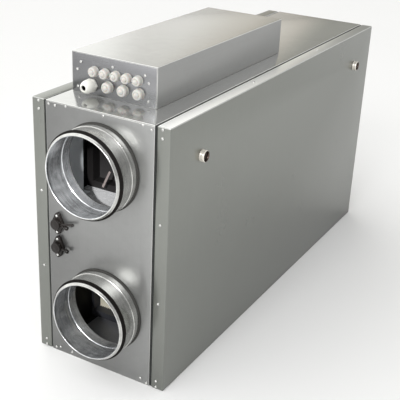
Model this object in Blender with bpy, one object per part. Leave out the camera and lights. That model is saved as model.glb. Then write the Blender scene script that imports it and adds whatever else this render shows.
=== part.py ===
# Air handling unit: a duct-connected galvanised cabinet with two round spigots at each end,
# a removable insulated service panel on each side and a control box on top.
# Metres, +Z up. The front end faces -Y, the origin is the middle of the base.

import math

import bmesh
import bpy
from mathutils import Matrix, Vector

# Cabinet
CABINET_WIDTH = 0.290
CABINET_HEIGHT = 0.520
CABINET_LENGTH = 0.968
SERVICE_PANEL_THICKNESS = 0.027
GASKET_THICKNESS = 0.004
GASKET_WIDTH = 0.010
GASKET_SETBACK = 0.0015
TOP_PANEL_THICKNESS = 0.020
BOTTOM_PANEL_THICKNESS = 0.020
END_WALL_THICKNESS = 0.012
PARTITION_DROP = 0.206
PARTITION_THICKNESS = 0.020
SHEET_EDGE_RADIUS = 0.0012
PANEL_EDGE_RADIUS = 0.0020
PANEL_EDGE_SEGMENTS = 2
FIT_GAP = 0.0003

# Duct spigots
SPIGOT_RADIUS = 0.0795
SPIGOT_REACH = 0.057
SPIGOT_WALL = 0.0015
SPIGOT_NOSE_LENGTH = 0.0040
SPIGOT_NOSE_SHOULDER = 0.0014
SPIGOT_NOSE_TAPER = 0.0031
SPIGOT_RIM_DEPTH = 0.0020
SPIGOT_BEAD_HEIGHT = 0.0016
SPIGOT_BEAD_HALF_WIDTH = 0.0025
SPIGOT_BEAD_PLACE = 0.013
UPPER_SPIGOT_DROP = 0.102
LOWER_SPIGOT_HEIGHT = 0.134
UPPER_SPIGOT_OFFSET = 0.003
LOWER_SPIGOT_OFFSET = 0.011
LIP_SEAL_WIDTH = 0.0085
LIP_SEAL_REACH = 0.0020
LIP_SEAL_EDGE = 0.0006
LIP_GROOVE_DEPTH = 0.0020

# Filters behind the spigots
FILTER_PLACE = 0.118
FILTER_HOLDER_DEPTH = 0.028
FILTER_HOLDER_BORDER = 0.014
FILTER_MEDIA_THICKNESS = 0.003
FILTER_PLEAT_DEPTH = 0.018
FILTER_PLEAT_COUNT = 12

# Quarter-turn locks of the service panels
LOCK_INSET = 0.107
LOCK_DROP = 0.079
LOCK_BEZEL_RADIUS = 0.0112
LOCK_BEZEL_REACH = 0.010
LOCK_CORE_RADIUS = 0.0080
LOCK_CORE_REACH = 0.0065
LOCK_CORE_CLEARANCE = 0.0004
LOCK_KEY_SLOT_WIDTH = 0.0028
LOCK_KEY_SLOT_DEPTH = 0.0030
LOCK_STUD_RADIUS = 0.0030
LOCK_STUD_CLEARANCE = 0.0005
LOCK_WING_LENGTH = 0.016
LOCK_WING_WIDTH = 0.005
LOCK_WING_THICKNESS = 0.0035
LOCK_WING_CLEARANCE = 0.0010
KEEPER_THICKNESS = 0.0025
KEEPER_INSET = 0.004
KEEPER_HEIGHT = 0.030
KEEPER_SLOT_CLEARANCE = 0.0012

# Control box
BOX_WIDTH = 0.182
BOX_LENGTH = 0.495
BOX_HEIGHT = 0.0745
BOX_OFFSET = -0.018
BOX_SETBACK = 0.070
BOX_SHEET = 0.0015

# Cable glands on the control box's front plate
GLAND_PITCH = 0.0232
UPPER_GLAND_COUNT = 5
UPPER_GLAND_START = -0.040
UPPER_GLAND_HEIGHT = 0.0448
LOWER_GLAND_PITCH = 0.0327
LOWER_GLAND_COUNT = 3
LOWER_GLAND_START = -0.0102
LOWER_GLAND_HEIGHT = 0.0214
UPPER_GLAND_RADIUS = 0.0096
LOWER_GLAND_RADIUS = 0.0108
GLAND_REACH = 0.0150
GLAND_FLANGE = 0.0025
GLAND_STUB_RADIUS = 0.0060
GLAND_STUB_LENGTH = 0.005
OPEN_GLAND_PLACE = -0.0465
OPEN_GLAND_HEIGHT = 0.0185
OPEN_GLAND_RADIUS = 0.0125
OPEN_GLAND_SEAT_RADIUS = 0.0130
OPEN_GLAND_SEAT_REACH = 0.0060
OPEN_GLAND_NUT_START = 0.0075
OPEN_GLAND_REACH = 0.0270
OPEN_GLAND_BORE = 0.0042
OPEN_GLAND_STUB_RADIUS = 0.0078
OPEN_GLAND_STUB_LENGTH = 0.008

# Pressure tappings on the front wall
TAPPING_INSET = 0.0228
TAPPING_SPACING = 0.048
TAPPING_DROP = 0.0145
TAPPING_FLANGE_RADIUS = 0.0125
TAPPING_FLANGE_THICKNESS = 0.006
TAPPING_EAR_RADIUS = 0.0055
TAPPING_SCREW_SPACING = 0.033
TAPPING_NECK_RADIUS = 0.0080
TAPPING_CAP_RADIUS = 0.0105
TAPPING_CAP_START = 0.0090
TAPPING_CAP_REACH = 0.0135
TAPPING_NOZZLE_DEPTH = 0.0075
TAPPING_NOZZLE_RADIUS = 0.0022
SHORT_NOZZLE_LENGTH = 0.0265
SHORT_NOZZLE_TIP_RADIUS = 0.0040
SHORT_NOZZLE_TURN = -6
LONG_NOZZLE_LENGTH = 0.040
LONG_NOZZLE_TIP_RADIUS = 0.0028
LONG_NOZZLE_TURN = 12

# Facets
SPIGOT_SEGMENTS = 36
GLAND_SEGMENTS = 16
SEAT_SEGMENTS = 6
LOCK_SEGMENTS = 20
STUD_SEGMENTS = 12
TAPPING_SEGMENTS = 16
NOZZLE_SEGMENTS = 10
SMOOTH_ANGLE = math.radians(35)

# Places worked out from the sizes above
HALF_WIDTH = CABINET_WIDTH / 2
HALF_LENGTH = CABINET_LENGTH / 2
BODY_HALF_WIDTH = HALF_WIDTH - SERVICE_PANEL_THICKNESS - GASKET_THICKNESS
INNER_TOP = CABINET_HEIGHT - TOP_PANEL_THICKNESS
INNER_HALF_LENGTH = HALF_LENGTH - END_WALL_THICKNESS
UPPER_SPIGOT_HEIGHT = CABINET_HEIGHT - UPPER_SPIGOT_DROP
TAPPING_MIDDLE = (UPPER_SPIGOT_HEIGHT + LOWER_SPIGOT_HEIGHT) / 2 - TAPPING_DROP
PARTITION_TOP = CABINET_HEIGHT - PARTITION_DROP
PARTITION_BOTTOM = PARTITION_TOP - PARTITION_THICKNESS
UPPER_CHAMBER = (PARTITION_TOP, INNER_TOP)
LOWER_CHAMBER = (BOTTOM_PANEL_THICKNESS, PARTITION_BOTTOM)
LOCK_HEIGHT = CABINET_HEIGHT - LOCK_DROP
BOX_FRONT = -HALF_LENGTH + BOX_SETBACK
BOX_BACK = BOX_FRONT + BOX_LENGTH
BOX_BOTTOM = CABINET_HEIGHT + FIT_GAP
BOX_TOP = CABINET_HEIGHT + BOX_HEIGHT

MATERIALS = {
    "galvanised_sheet": ((0.56, 0.57, 0.56), 0.34, 0.90),
    "panel_sheet": ((0.43, 0.45, 0.43), 0.42, 0.80),
    "box_sheet": ((0.60, 0.60, 0.59), 0.32, 0.90),
    "spigot_steel": ((0.68, 0.69, 0.68), 0.22, 1.00),
    "black_rubber": ((0.030, 0.028, 0.026), 0.65, 0.0),
    "gasket_foam": ((0.022, 0.024, 0.023), 0.85, 0.0),
    "gland_plastic": ((0.70, 0.66, 0.61), 0.35, 0.0),
    "white_plastic": ((0.88, 0.87, 0.80), 0.40, 0.0),
    "black_plastic": ((0.025, 0.024, 0.024), 0.38, 0.0),
    "holder_black": ((0.030, 0.030, 0.032), 0.60, 0.0),
    "filter_media": ((0.42, 0.43, 0.41), 0.95, 0.0),
    "lock_chrome": ((0.80, 0.78, 0.74), 0.12, 1.00),
    "lock_steel": ((0.16, 0.15, 0.15), 0.35, 0.90),
}


def clear_scene():
    for item in list(bpy.data.objects):
        bpy.data.objects.remove(item, do_unlink=True)


def material(name):
    """The named finish, made on its first use."""
    found = bpy.data.materials.get(name)
    if found:
        return found
    color, roughness, metallic = MATERIALS[name]
    made = bpy.data.materials.new(name)
    made.use_nodes = True
    shader = made.node_tree.nodes["Principled BSDF"]
    shader.inputs["Base Color"].default_value = (*color, 1.0)
    shader.inputs["Roughness"].default_value = roughness
    shader.inputs["Metallic"].default_value = metallic
    made.diffuse_color = (*color, 1.0)
    return made


def smooth_by_angle(target):
    target.data.shade_smooth()
    target.data.set_sharp_from_angle(angle=SMOOTH_ANGLE)


def add_object(name, mesh, finish, smooth=False):
    made = bpy.data.objects.new(name, mesh)
    bpy.context.scene.collection.objects.link(made)
    mesh.materials.append(material(finish))
    if smooth:
        smooth_by_angle(made)
    return made


def finish_mesh(name, bm):
    bmesh.ops.recalc_face_normals(bm, faces=bm.faces)
    mesh = bpy.data.meshes.new(name)
    bm.to_mesh(mesh)
    bm.free()
    return mesh


def block_bmesh(low, high):
    """A box between two corners."""
    bm = bmesh.new()
    bmesh.ops.create_cube(bm, size=1.0)
    middle = (Vector(low) + Vector(high)) / 2
    span = Vector(high) - Vector(low)
    bmesh.ops.scale(bm, vec=span, verts=bm.verts)
    bmesh.ops.translate(bm, vec=middle, verts=bm.verts)
    return bm


def block(name, low, high, finish, edge_radius=0.0, edge_segments=1):
    made = add_object(name, finish_mesh(name, block_bmesh(low, high)), finish)
    if edge_radius:
        bevel = made.modifiers.new("sheet bend", "BEVEL")
        bevel.width = edge_radius
        bevel.segments = edge_segments
        bevel.limit_method = "ANGLE"
    return made


def turned_bmesh(profile, segments):
    """A closed ring of (distance along the axis, radius) points turned round +X."""
    bm = bmesh.new()
    verts = [bm.verts.new((along, 0.0, radius)) for along, radius in profile]
    edges = [bm.edges.new((verts[i], verts[(i + 1) % len(verts)])) for i in range(len(verts))]
    bmesh.ops.spin(
        bm,
        geom=verts + edges,
        cent=(0, 0, 0),
        axis=(1, 0, 0),
        angle=math.tau,
        steps=segments,
        use_merge=True,
    )
    bmesh.ops.remove_doubles(bm, verts=bm.verts, dist=0.000001)
    return bm


def turned_solid_bmesh(profile, segments):
    """A solid of revolution round +X. The profile runs from one pole to the other."""
    bm = bmesh.new()
    rings = []
    for along, radius in profile:
        if radius == 0:
            rings.append([bm.verts.new((along, 0, 0))])
            continue
        ring = []
        for i in range(segments):
            angle = math.tau * i / segments
            ring.append(bm.verts.new((along, radius * math.cos(angle), radius * math.sin(angle))))
        rings.append(ring)
    for first, second in zip(rings, rings[1:]):
        for i in range(segments):
            j = (i + 1) % segments
            corners = [first[i % len(first)], first[j % len(first)]]
            corners += [second[j % len(second)], second[i % len(second)]]
            unique = list(dict.fromkeys(corners))
            bm.faces.new(unique)
    return bm


def rod_bmesh(start, end, radius, segments):
    """A plain round rod between two points."""
    start = Vector(start)
    run = Vector(end) - start
    bm = turned_solid_bmesh([(0, 0), (0, radius), (run.length, radius), (run.length, 0)], segments)
    turn = Vector((1, 0, 0)).rotation_difference(run).to_matrix().to_4x4()
    bmesh.ops.transform(bm, matrix=Matrix.Translation(start) @ turn, verts=bm.verts)
    return bm


def helper(name, bm):
    """A guide solid for a Boolean. It is never a piece of the unit."""
    made = add_object(name, finish_mesh(name, bm), "galvanised_sheet")
    made.hide_render = True
    made.hide_viewport = False
    made.display_type = "WIRE"
    return made


def combine(target, bm, operation):
    """Adds or cuts a guide solid, then removes the guide."""
    guide = helper(target.name + "_guide", bm)
    boolean = target.modifiers.new("combine", "BOOLEAN")
    boolean.operation = operation
    boolean.solver = "EXACT"
    boolean.object = guide
    bpy.context.view_layer.update()
    evaluated = target.evaluated_get(bpy.context.evaluated_depsgraph_get())
    mesh = bpy.data.meshes.new_from_object(evaluated)
    target.modifiers.clear()
    target.data = mesh
    bpy.data.objects.remove(guide, do_unlink=True)


def cut(target, bm):
    combine(target, bm, "DIFFERENCE")


def join(target, bm):
    combine(target, bm, "UNION")


def ring_frame_bmesh(outer, inner, start, end, along):
    """A rectangular ring: outer and inner are (low u, low v, high u, high v)."""

    def place(u, v, w):
        if along == "X":
            return (w, u, v)
        return (u, w, v)

    bm = bmesh.new()
    loops = []
    for low_u, low_v, high_u, high_v in (outer, inner):
        corners = ((low_u, low_v), (high_u, low_v), (high_u, high_v), (low_u, high_v))
        loops.append([bm.verts.new(place(u, v, start)) for u, v in corners])
    faces = []
    for i in range(4):
        j = (i + 1) % 4
        faces.append(bm.faces.new((loops[0][i], loops[0][j], loops[1][j], loops[1][i])))
    pushed = bmesh.ops.extrude_face_region(bm, geom=faces, use_keep_orig=True)
    moved = [item for item in pushed["geom"] if isinstance(item, bmesh.types.BMVert)]
    shift = Vector(place(0, 0, end)) - Vector(place(0, 0, start))
    bmesh.ops.translate(bm, vec=shift, verts=moved)
    return bm


def end_turn(end):
    """Turns a piece made along +X so that it points out of the front (-1) or rear (+1) wall."""
    return Matrix.Rotation(math.radians(90) * end, 4, "Z")


def place_on_end(bm, end, x, z, depth=0.0):
    """Stands a piece made along +X on an end wall's outer face, or depth behind it."""
    spot = Matrix.Translation((x, end * (HALF_LENGTH - depth), z))
    bmesh.ops.transform(bm, matrix=spot @ end_turn(end), verts=bm.verts)
    return bm


def spigot_places():
    """(name, end, x, z) of each spigot. The rear end repeats the front turned half round."""
    rows = (
        ("upper", UPPER_SPIGOT_OFFSET, UPPER_SPIGOT_HEIGHT),
        ("lower", LOWER_SPIGOT_OFFSET, LOWER_SPIGOT_HEIGHT),
    )
    ends = (("front", -1), ("rear", 1))
    return [(f"{side}_{row}", end, -end * x, z) for side, end in ends for row, x, z in rows]


def build_end_walls():
    for side, end in (("front", -1), ("rear", 1)):
        outer = end * HALF_LENGTH
        inner = end * INNER_HALF_LENGTH
        low = (-BODY_HALF_WIDTH, min(outer, inner), 0)
        high = (BODY_HALF_WIDTH, max(outer, inner), CABINET_HEIGHT)
        wall = block(side + "_end_wall", low, high, "galvanised_sheet", SHEET_EDGE_RADIUS)
        for name, spigot_end, x, z in spigot_places():
            if spigot_end != end:
                continue
            reach = END_WALL_THICKNESS * 2
            bore = rod_bmesh((-reach, 0, 0), (reach, 0, 0), SPIGOT_RADIUS + FIT_GAP, SPIGOT_SEGMENTS)
            cut(wall, place_on_end(bore, end, x, z))


def build_body_panels():
    """Top, bottom and the insulated partition between the upper and lower air paths."""
    half_length = INNER_HALF_LENGTH - FIT_GAP
    slabs = (
        ("top_panel", INNER_TOP, CABINET_HEIGHT),
        ("bottom_panel", 0, BOTTOM_PANEL_THICKNESS),
        ("partition", PARTITION_BOTTOM, PARTITION_TOP),
    )
    for name, low, high in slabs:
        corner = (BODY_HALF_WIDTH, half_length, high)
        block(name, (-corner[0], -corner[1], low), corner, "galvanised_sheet")


def build_service_panels():
    for side, sign in (("left", -1), ("right", 1)):
        inner = sign * (HALF_WIDTH - SERVICE_PANEL_THICKNESS)
        outer = sign * HALF_WIDTH
        low = (min(inner, outer), -HALF_LENGTH, 0)
        high = (max(inner, outer), HALF_LENGTH, CABINET_HEIGHT)
        name = side + "_service_panel"
        panel = block(name, low, high, "panel_sheet", PANEL_EDGE_RADIUS, PANEL_EDGE_SEGMENTS)
        for end in (-1, 1):
            y = end * (HALF_LENGTH - LOCK_INSET)
            reach = SERVICE_PANEL_THICKNESS
            radius = LOCK_STUD_RADIUS + LOCK_STUD_CLEARANCE
            start = (outer + sign * reach, y, LOCK_HEIGHT)
            finish = (inner - sign * reach, y, LOCK_HEIGHT)
            cut(panel, rod_bmesh(start, finish, radius, STUD_SEGMENTS))
        face = HALF_WIDTH - SERVICE_PANEL_THICKNESS
        edge = HALF_LENGTH - GASKET_SETBACK
        top = CABINET_HEIGHT - GASKET_SETBACK
        outer_ring = (-edge, GASKET_SETBACK, edge, top)
        inner_edge = edge - GASKET_WIDTH
        inner_ring = (-inner_edge, GASKET_SETBACK + GASKET_WIDTH, inner_edge, top - GASKET_WIDTH)
        near = sign * (BODY_HALF_WIDTH + FIT_GAP)
        far = sign * (face - FIT_GAP)
        bm = ring_frame_bmesh(outer_ring, inner_ring, near, far, "X")
        name = side + "_panel_gasket"
        add_object(name, finish_mesh(name, bm), "gasket_foam")


def spigot_profile():
    """Outer and inner line of the tube, with its rolled bead, seal groove and tapered, rolled nose."""
    inner_end = -END_WALL_THICKNESS
    bead = SPIGOT_BEAD_PLACE
    half = SPIGOT_BEAD_HALF_WIDTH
    groove_start = SPIGOT_REACH - SPIGOT_NOSE_LENGTH - LIP_SEAL_WIDTH
    groove_end = SPIGOT_REACH - SPIGOT_NOSE_LENGTH
    groove = SPIGOT_RADIUS - LIP_GROOVE_DEPTH
    bore = SPIGOT_RADIUS - SPIGOT_WALL - LIP_GROOVE_DEPTH
    outside = [
        (inner_end, SPIGOT_RADIUS),
        (bead - half, SPIGOT_RADIUS),
        (bead - half / 2, SPIGOT_RADIUS + SPIGOT_BEAD_HEIGHT),
        (bead + half / 2, SPIGOT_RADIUS + SPIGOT_BEAD_HEIGHT),
        (bead + half, SPIGOT_RADIUS),
        (groove_start, SPIGOT_RADIUS),
        (groove_start, groove),
        (groove_end, groove),
        (groove_end, SPIGOT_RADIUS - SPIGOT_NOSE_SHOULDER),
        (SPIGOT_REACH, SPIGOT_RADIUS - SPIGOT_NOSE_TAPER),
    ]
    inside = [
        (SPIGOT_REACH, bore - SPIGOT_RIM_DEPTH * 0.5),
        (SPIGOT_REACH - SPIGOT_NOSE_LENGTH * 0.4, bore - SPIGOT_RIM_DEPTH),
        (SPIGOT_REACH - SPIGOT_NOSE_LENGTH * 1.4, bore),
        (bead + half, bore),
        (bead + half / 2, bore + SPIGOT_BEAD_HEIGHT),
        (bead - half / 2, bore + SPIGOT_BEAD_HEIGHT),
        (bead - half, bore),
        (inner_end, bore),
    ]
    return outside + inside


def lip_seal_profile():
    """A rubber band in the groove, rising from the nose to a swept-back lip."""
    front = SPIGOT_REACH - SPIGOT_NOSE_LENGTH - FIT_GAP
    back = front - LIP_SEAL_WIDTH + FIT_GAP * 2
    seat = SPIGOT_RADIUS - LIP_GROOVE_DEPTH + FIT_GAP
    band = seat + LIP_SEAL_EDGE * 2
    tip = SPIGOT_RADIUS + LIP_SEAL_REACH
    return [
        (back, seat),
        (front, seat),
        (front, seat + LIP_SEAL_EDGE),
        (front - LIP_SEAL_WIDTH * 0.5, tip),
        (back + LIP_SEAL_WIDTH * 0.08, tip),
        (back, band),
    ]


def build_spigots():
    for name, end, x, z in spigot_places():
        tube = place_on_end(turned_bmesh(spigot_profile(), SPIGOT_SEGMENTS), end, x, z)
        add_object(name + "_spigot", finish_mesh(name, tube), "spigot_steel", smooth=True)
        seal = place_on_end(turned_bmesh(lip_seal_profile(), SPIGOT_SEGMENTS), end, x, z)
        add_object(name + "_lip_seal", finish_mesh(name + "_seal", seal), "black_rubber", smooth=True)


def pleat_bmesh(low_x, high_x, low_z, high_z, front):
    """A folded sheet: one zigzag strip extruded upwards."""
    bm = bmesh.new()
    steps = FILTER_PLEAT_COUNT * 2
    near = []
    for i in range(steps + 1):
        x = low_x + (high_x - low_x) * i / steps
        y = front + (FILTER_PLEAT_DEPTH if i % 2 else 0.0)
        near.append((x, y))
    far = [(x, y + FILTER_MEDIA_THICKNESS) for x, y in reversed(near)]
    ring = [bm.verts.new((x, y, low_z)) for x, y in near + far]
    count = len(near)
    faces = []
    for i in range(steps):
        j = 2 * count - 1 - i
        faces.append(bm.faces.new((ring[i], ring[i + 1], ring[j - 1], ring[j])))
    pushed = bmesh.ops.extrude_face_region(bm, geom=faces, use_keep_orig=True)
    moved = [item for item in pushed["geom"] if isinstance(item, bmesh.types.BMVert)]
    bmesh.ops.translate(bm, vec=(0, 0, high_z - low_z), verts=moved)
    return bm


def add_keepers(holder, end):
    """Slotted keeper plates on the holder's two posts, which the lock wings turn behind."""
    lock_y = HALF_LENGTH - LOCK_INSET
    slot_half = LOCK_WING_LENGTH / 2 + KEEPER_SLOT_CLEARANCE
    slot_width = LOCK_WING_WIDTH / 2 + KEEPER_SLOT_CLEARANCE
    root_y = HALF_LENGTH - FILTER_PLACE - FILTER_HOLDER_BORDER / 2
    free_y = lock_y + slot_half + KEEPER_THICKNESS
    for sign in (-1, 1):
        outer = BODY_HALF_WIDTH - KEEPER_INSET
        inner = outer - KEEPER_THICKNESS
        xs = sorted((sign * outer, sign * inner))
        ys = sorted((end * root_y, end * free_y))
        low = (xs[0], ys[0], LOCK_HEIGHT - KEEPER_HEIGHT / 2)
        high = (xs[1], ys[1], LOCK_HEIGHT + KEEPER_HEIGHT / 2)
        join(holder, block_bmesh(low, high))
        slot_low = (xs[0] - KEEPER_THICKNESS, end * lock_y - slot_half, LOCK_HEIGHT - slot_width)
        slot_high = (xs[1] + KEEPER_THICKNESS, end * lock_y + slot_half, LOCK_HEIGHT + slot_width)
        cut(holder, block_bmesh(slot_low, slot_high))


def build_filters():
    """A holder frame with pleated media across each chamber, behind each spigot."""
    for side, end in (("front", -1), ("rear", 1)):
        for row, chamber in (("upper", UPPER_CHAMBER), ("lower", LOWER_CHAMBER)):
            name = f"{side}_{row}_filter"
            low_z = chamber[0] + FIT_GAP
            high_z = chamber[1] - FIT_GAP
            half = BODY_HALF_WIDTH - FIT_GAP
            border = FILTER_HOLDER_BORDER
            outer = (-half, low_z, half, high_z)
            inner = (-half + border, low_z + border, half - border, high_z - border)
            near = HALF_LENGTH - FILTER_PLACE
            far = near - FILTER_HOLDER_DEPTH
            bm = ring_frame_bmesh(outer, inner, end * near, end * far, "Y")
            holder = add_object(name + "_holder", finish_mesh(name, bm), "holder_black")
            if row == "upper":
                add_keepers(holder, end)
            inset = FIT_GAP
            media_half = half - border - inset
            depth = FILTER_PLEAT_DEPTH + FILTER_MEDIA_THICKNESS
            middle = end * (near + far) / 2 - depth / 2
            bottom = inner[1] + inset
            top = inner[3] - inset
            pleats = pleat_bmesh(-media_half, media_half, bottom, top, middle)
            add_object(name + "_media", finish_mesh(name + "_media", pleats), "filter_media")


def lock_matrix(sign, end):
    """From +X at the origin to a lock's axis at the panel's outer face."""
    y = end * (HALF_LENGTH - LOCK_INSET)
    spot = Matrix.Translation((sign * HALF_WIDTH, y, LOCK_HEIGHT))
    return spot @ Matrix.Rotation(0 if sign > 0 else math.pi, 4, "Z")


def bezel_profile():
    inner = LOCK_CORE_RADIUS + LOCK_CORE_CLEARANCE
    lip = LOCK_BEZEL_RADIUS - inner
    return [
        (FIT_GAP, inner),
        (LOCK_BEZEL_REACH, inner),
        (LOCK_BEZEL_REACH, inner + lip * 0.4),
        (LOCK_BEZEL_REACH * 0.8, LOCK_BEZEL_RADIUS),
        (FIT_GAP, LOCK_BEZEL_RADIUS),
    ]


def core_profile():
    """Head, stud and stud end, from the outside inwards."""
    return [
        (LOCK_CORE_REACH, 0),
        (LOCK_CORE_REACH, LOCK_CORE_RADIUS),
        (FIT_GAP, LOCK_CORE_RADIUS),
        (FIT_GAP, LOCK_STUD_RADIUS),
        (-wing_end_depth(), LOCK_STUD_RADIUS),
        (-wing_end_depth(), 0),
    ]


def wing_start_depth():
    """Depth below the panel's outer face where the lock wing starts, behind its keeper."""
    keeper_back = SERVICE_PANEL_THICKNESS + GASKET_THICKNESS + KEEPER_INSET + KEEPER_THICKNESS
    return keeper_back + LOCK_WING_CLEARANCE


def wing_end_depth():
    return wing_start_depth() + LOCK_WING_THICKNESS


def build_locks():
    for side, sign in (("left", -1), ("right", 1)):
        for end_name, end in (("front", -1), ("rear", 1)):
            matrix = lock_matrix(sign, end)
            name = f"{side}_{end_name}_lock"
            bezel = turned_bmesh(bezel_profile(), LOCK_SEGMENTS)
            ring = add_object(name + "_bezel", finish_mesh(name, bezel), "lock_chrome", smooth=True)
            ring.matrix_world = matrix
            body = turned_solid_bmesh(core_profile(), LOCK_SEGMENTS)
            core = add_object(name + "_core", finish_mesh(name + "_core", body), "lock_steel")
            half_wing = LOCK_WING_LENGTH / 2
            half_width = LOCK_WING_WIDTH / 2
            wing_low = (-wing_end_depth(), -half_width, -half_wing)
            wing_high = (-wing_start_depth(), half_width, half_wing)
            join(core, block_bmesh(wing_low, wing_high))
            slot_floor = LOCK_CORE_REACH - LOCK_KEY_SLOT_DEPTH
            slot_top = LOCK_CORE_REACH + LOCK_KEY_SLOT_DEPTH
            slot_half = LOCK_KEY_SLOT_WIDTH / 2
            slot_low = (slot_floor, -slot_half, -LOCK_BEZEL_RADIUS)
            slot_high = (slot_top, slot_half, LOCK_BEZEL_RADIUS)
            cut(core, block_bmesh(slot_low, slot_high))
            core.matrix_world = matrix


def gland_places():
    """(name, x, height above the cabinet, radius) of each closed gland."""
    places = []
    for i in range(UPPER_GLAND_COUNT):
        x = BOX_OFFSET + UPPER_GLAND_START + GLAND_PITCH * i
        places.append((f"upper_gland_{i + 1}", x, UPPER_GLAND_HEIGHT, UPPER_GLAND_RADIUS))
    for i in range(LOWER_GLAND_COUNT):
        x = BOX_OFFSET + LOWER_GLAND_START + LOWER_GLAND_PITCH * i
        places.append((f"lower_gland_{i + 1}", x, LOWER_GLAND_HEIGHT, LOWER_GLAND_RADIUS))
    return places


def closed_gland_profile(radius):
    """Flange, body and dome with a small nipple, on the stub that sits in the plate."""
    return [
        (-BOX_SHEET - GLAND_STUB_LENGTH, 0),
        (-BOX_SHEET - GLAND_STUB_LENGTH, GLAND_STUB_RADIUS),
        (FIT_GAP, GLAND_STUB_RADIUS),
        (FIT_GAP, radius),
        (GLAND_FLANGE, radius),
        (GLAND_FLANGE, radius * 0.92),
        (GLAND_REACH * 0.60, radius * 0.88),
        (GLAND_REACH * 0.84, radius * 0.62),
        (GLAND_REACH * 0.88, radius * 0.32),
        (GLAND_REACH, radius * 0.22),
        (GLAND_REACH, 0),
    ]


def open_gland_profile():
    """Stub, neck and domed clamping nut round the cable bore."""
    stub_end = -BOX_SHEET - OPEN_GLAND_STUB_LENGTH
    neck = OPEN_GLAND_RADIUS * 0.80
    return [
        (stub_end, OPEN_GLAND_BORE),
        (OPEN_GLAND_REACH, OPEN_GLAND_BORE),
        (OPEN_GLAND_REACH, OPEN_GLAND_RADIUS * 0.52),
        (OPEN_GLAND_REACH * 0.86, OPEN_GLAND_RADIUS * 0.82),
        (OPEN_GLAND_REACH * 0.62, OPEN_GLAND_RADIUS * 0.97),
        (OPEN_GLAND_NUT_START, OPEN_GLAND_RADIUS),
        (OPEN_GLAND_NUT_START, neck),
        (FIT_GAP, neck),
        (FIT_GAP, OPEN_GLAND_STUB_RADIUS),
        (stub_end, OPEN_GLAND_STUB_RADIUS),
    ]


def open_gland_seat_profile():
    """The hexagon that a spanner holds, sunk into the neck on its inner side."""
    inner = (OPEN_GLAND_BORE + OPEN_GLAND_STUB_RADIUS) / 2 / math.cos(math.pi / SEAT_SEGMENTS)
    return [
        (FIT_GAP, inner),
        (OPEN_GLAND_SEAT_REACH, inner),
        (OPEN_GLAND_SEAT_REACH, OPEN_GLAND_SEAT_RADIUS),
        (FIT_GAP, OPEN_GLAND_SEAT_RADIUS),
    ]


def place_on_box(bm, x, height):
    """Points a piece made along +X out of the control box's front plate."""
    spot = Matrix.Translation((x, BOX_FRONT, CABINET_HEIGHT + height))
    bmesh.ops.transform(bm, matrix=spot @ end_turn(-1), verts=bm.verts)
    return bm


def cut_gland_hole(plate, radius, x, height):
    hole = rod_bmesh((-BOX_SHEET * 3, 0, 0), (BOX_SHEET, 0, 0), radius + FIT_GAP, GLAND_SEGMENTS)
    cut(plate, place_on_box(hole, x, height))


def build_glands(plate):
    for name, x, height, radius in gland_places():
        bm = turned_solid_bmesh(closed_gland_profile(radius), GLAND_SEGMENTS)
        mesh = finish_mesh(name, place_on_box(bm, x, height))
        add_object(name, mesh, "gland_plastic", smooth=True)
        cut_gland_hole(plate, GLAND_STUB_RADIUS, x, height)
    x = BOX_OFFSET + OPEN_GLAND_PLACE
    name = "open_cable_gland"
    bm = place_on_box(turned_bmesh(open_gland_profile(), GLAND_SEGMENTS), x, OPEN_GLAND_HEIGHT)
    gland = add_object(name, finish_mesh(name, bm), "white_plastic")
    seat = turned_bmesh(open_gland_seat_profile(), SEAT_SEGMENTS)
    bmesh.ops.recalc_face_normals(seat, faces=seat.faces)
    join(gland, place_on_box(seat, x, OPEN_GLAND_HEIGHT))
    smooth_by_angle(gland)
    cut_gland_hole(plate, OPEN_GLAND_STUB_RADIUS, x, OPEN_GLAND_HEIGHT)


def build_control_box():
    """A folded cover over a base tray, closed by a front gland plate and a rear plate."""
    half = BOX_WIDTH / 2
    low = (BOX_OFFSET - half, BOX_FRONT, BOX_BOTTOM)
    high = (BOX_OFFSET + half, BOX_BACK, BOX_TOP)
    cover = block("control_box_cover", low, high, "box_sheet")
    room_low = (low[0] + BOX_SHEET, low[1] - BOX_SHEET, low[2] - BOX_SHEET)
    room_high = (high[0] - BOX_SHEET, high[1] + BOX_SHEET, high[2] - BOX_SHEET)
    cut(cover, block_bmesh(room_low, room_high))
    inner = half - BOX_SHEET - FIT_GAP
    inner_top = BOX_TOP - BOX_SHEET - FIT_GAP
    for name, y in (("control_box_front_plate", BOX_FRONT), ("control_box_rear_plate", BOX_BACK - BOX_SHEET)):
        low = (BOX_OFFSET - inner, y, BOX_BOTTOM)
        high = (BOX_OFFSET + inner, y + BOX_SHEET, inner_top)
        plate = block(name, low, high, "box_sheet")
        if y == BOX_FRONT:
            build_glands(plate)
    low = (BOX_OFFSET - inner, BOX_FRONT + BOX_SHEET + FIT_GAP, BOX_BOTTOM)
    high = (BOX_OFFSET + inner, BOX_BACK - BOX_SHEET - FIT_GAP, BOX_BOTTOM + BOX_SHEET)
    block("control_box_base", low, high, "box_sheet")


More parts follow.
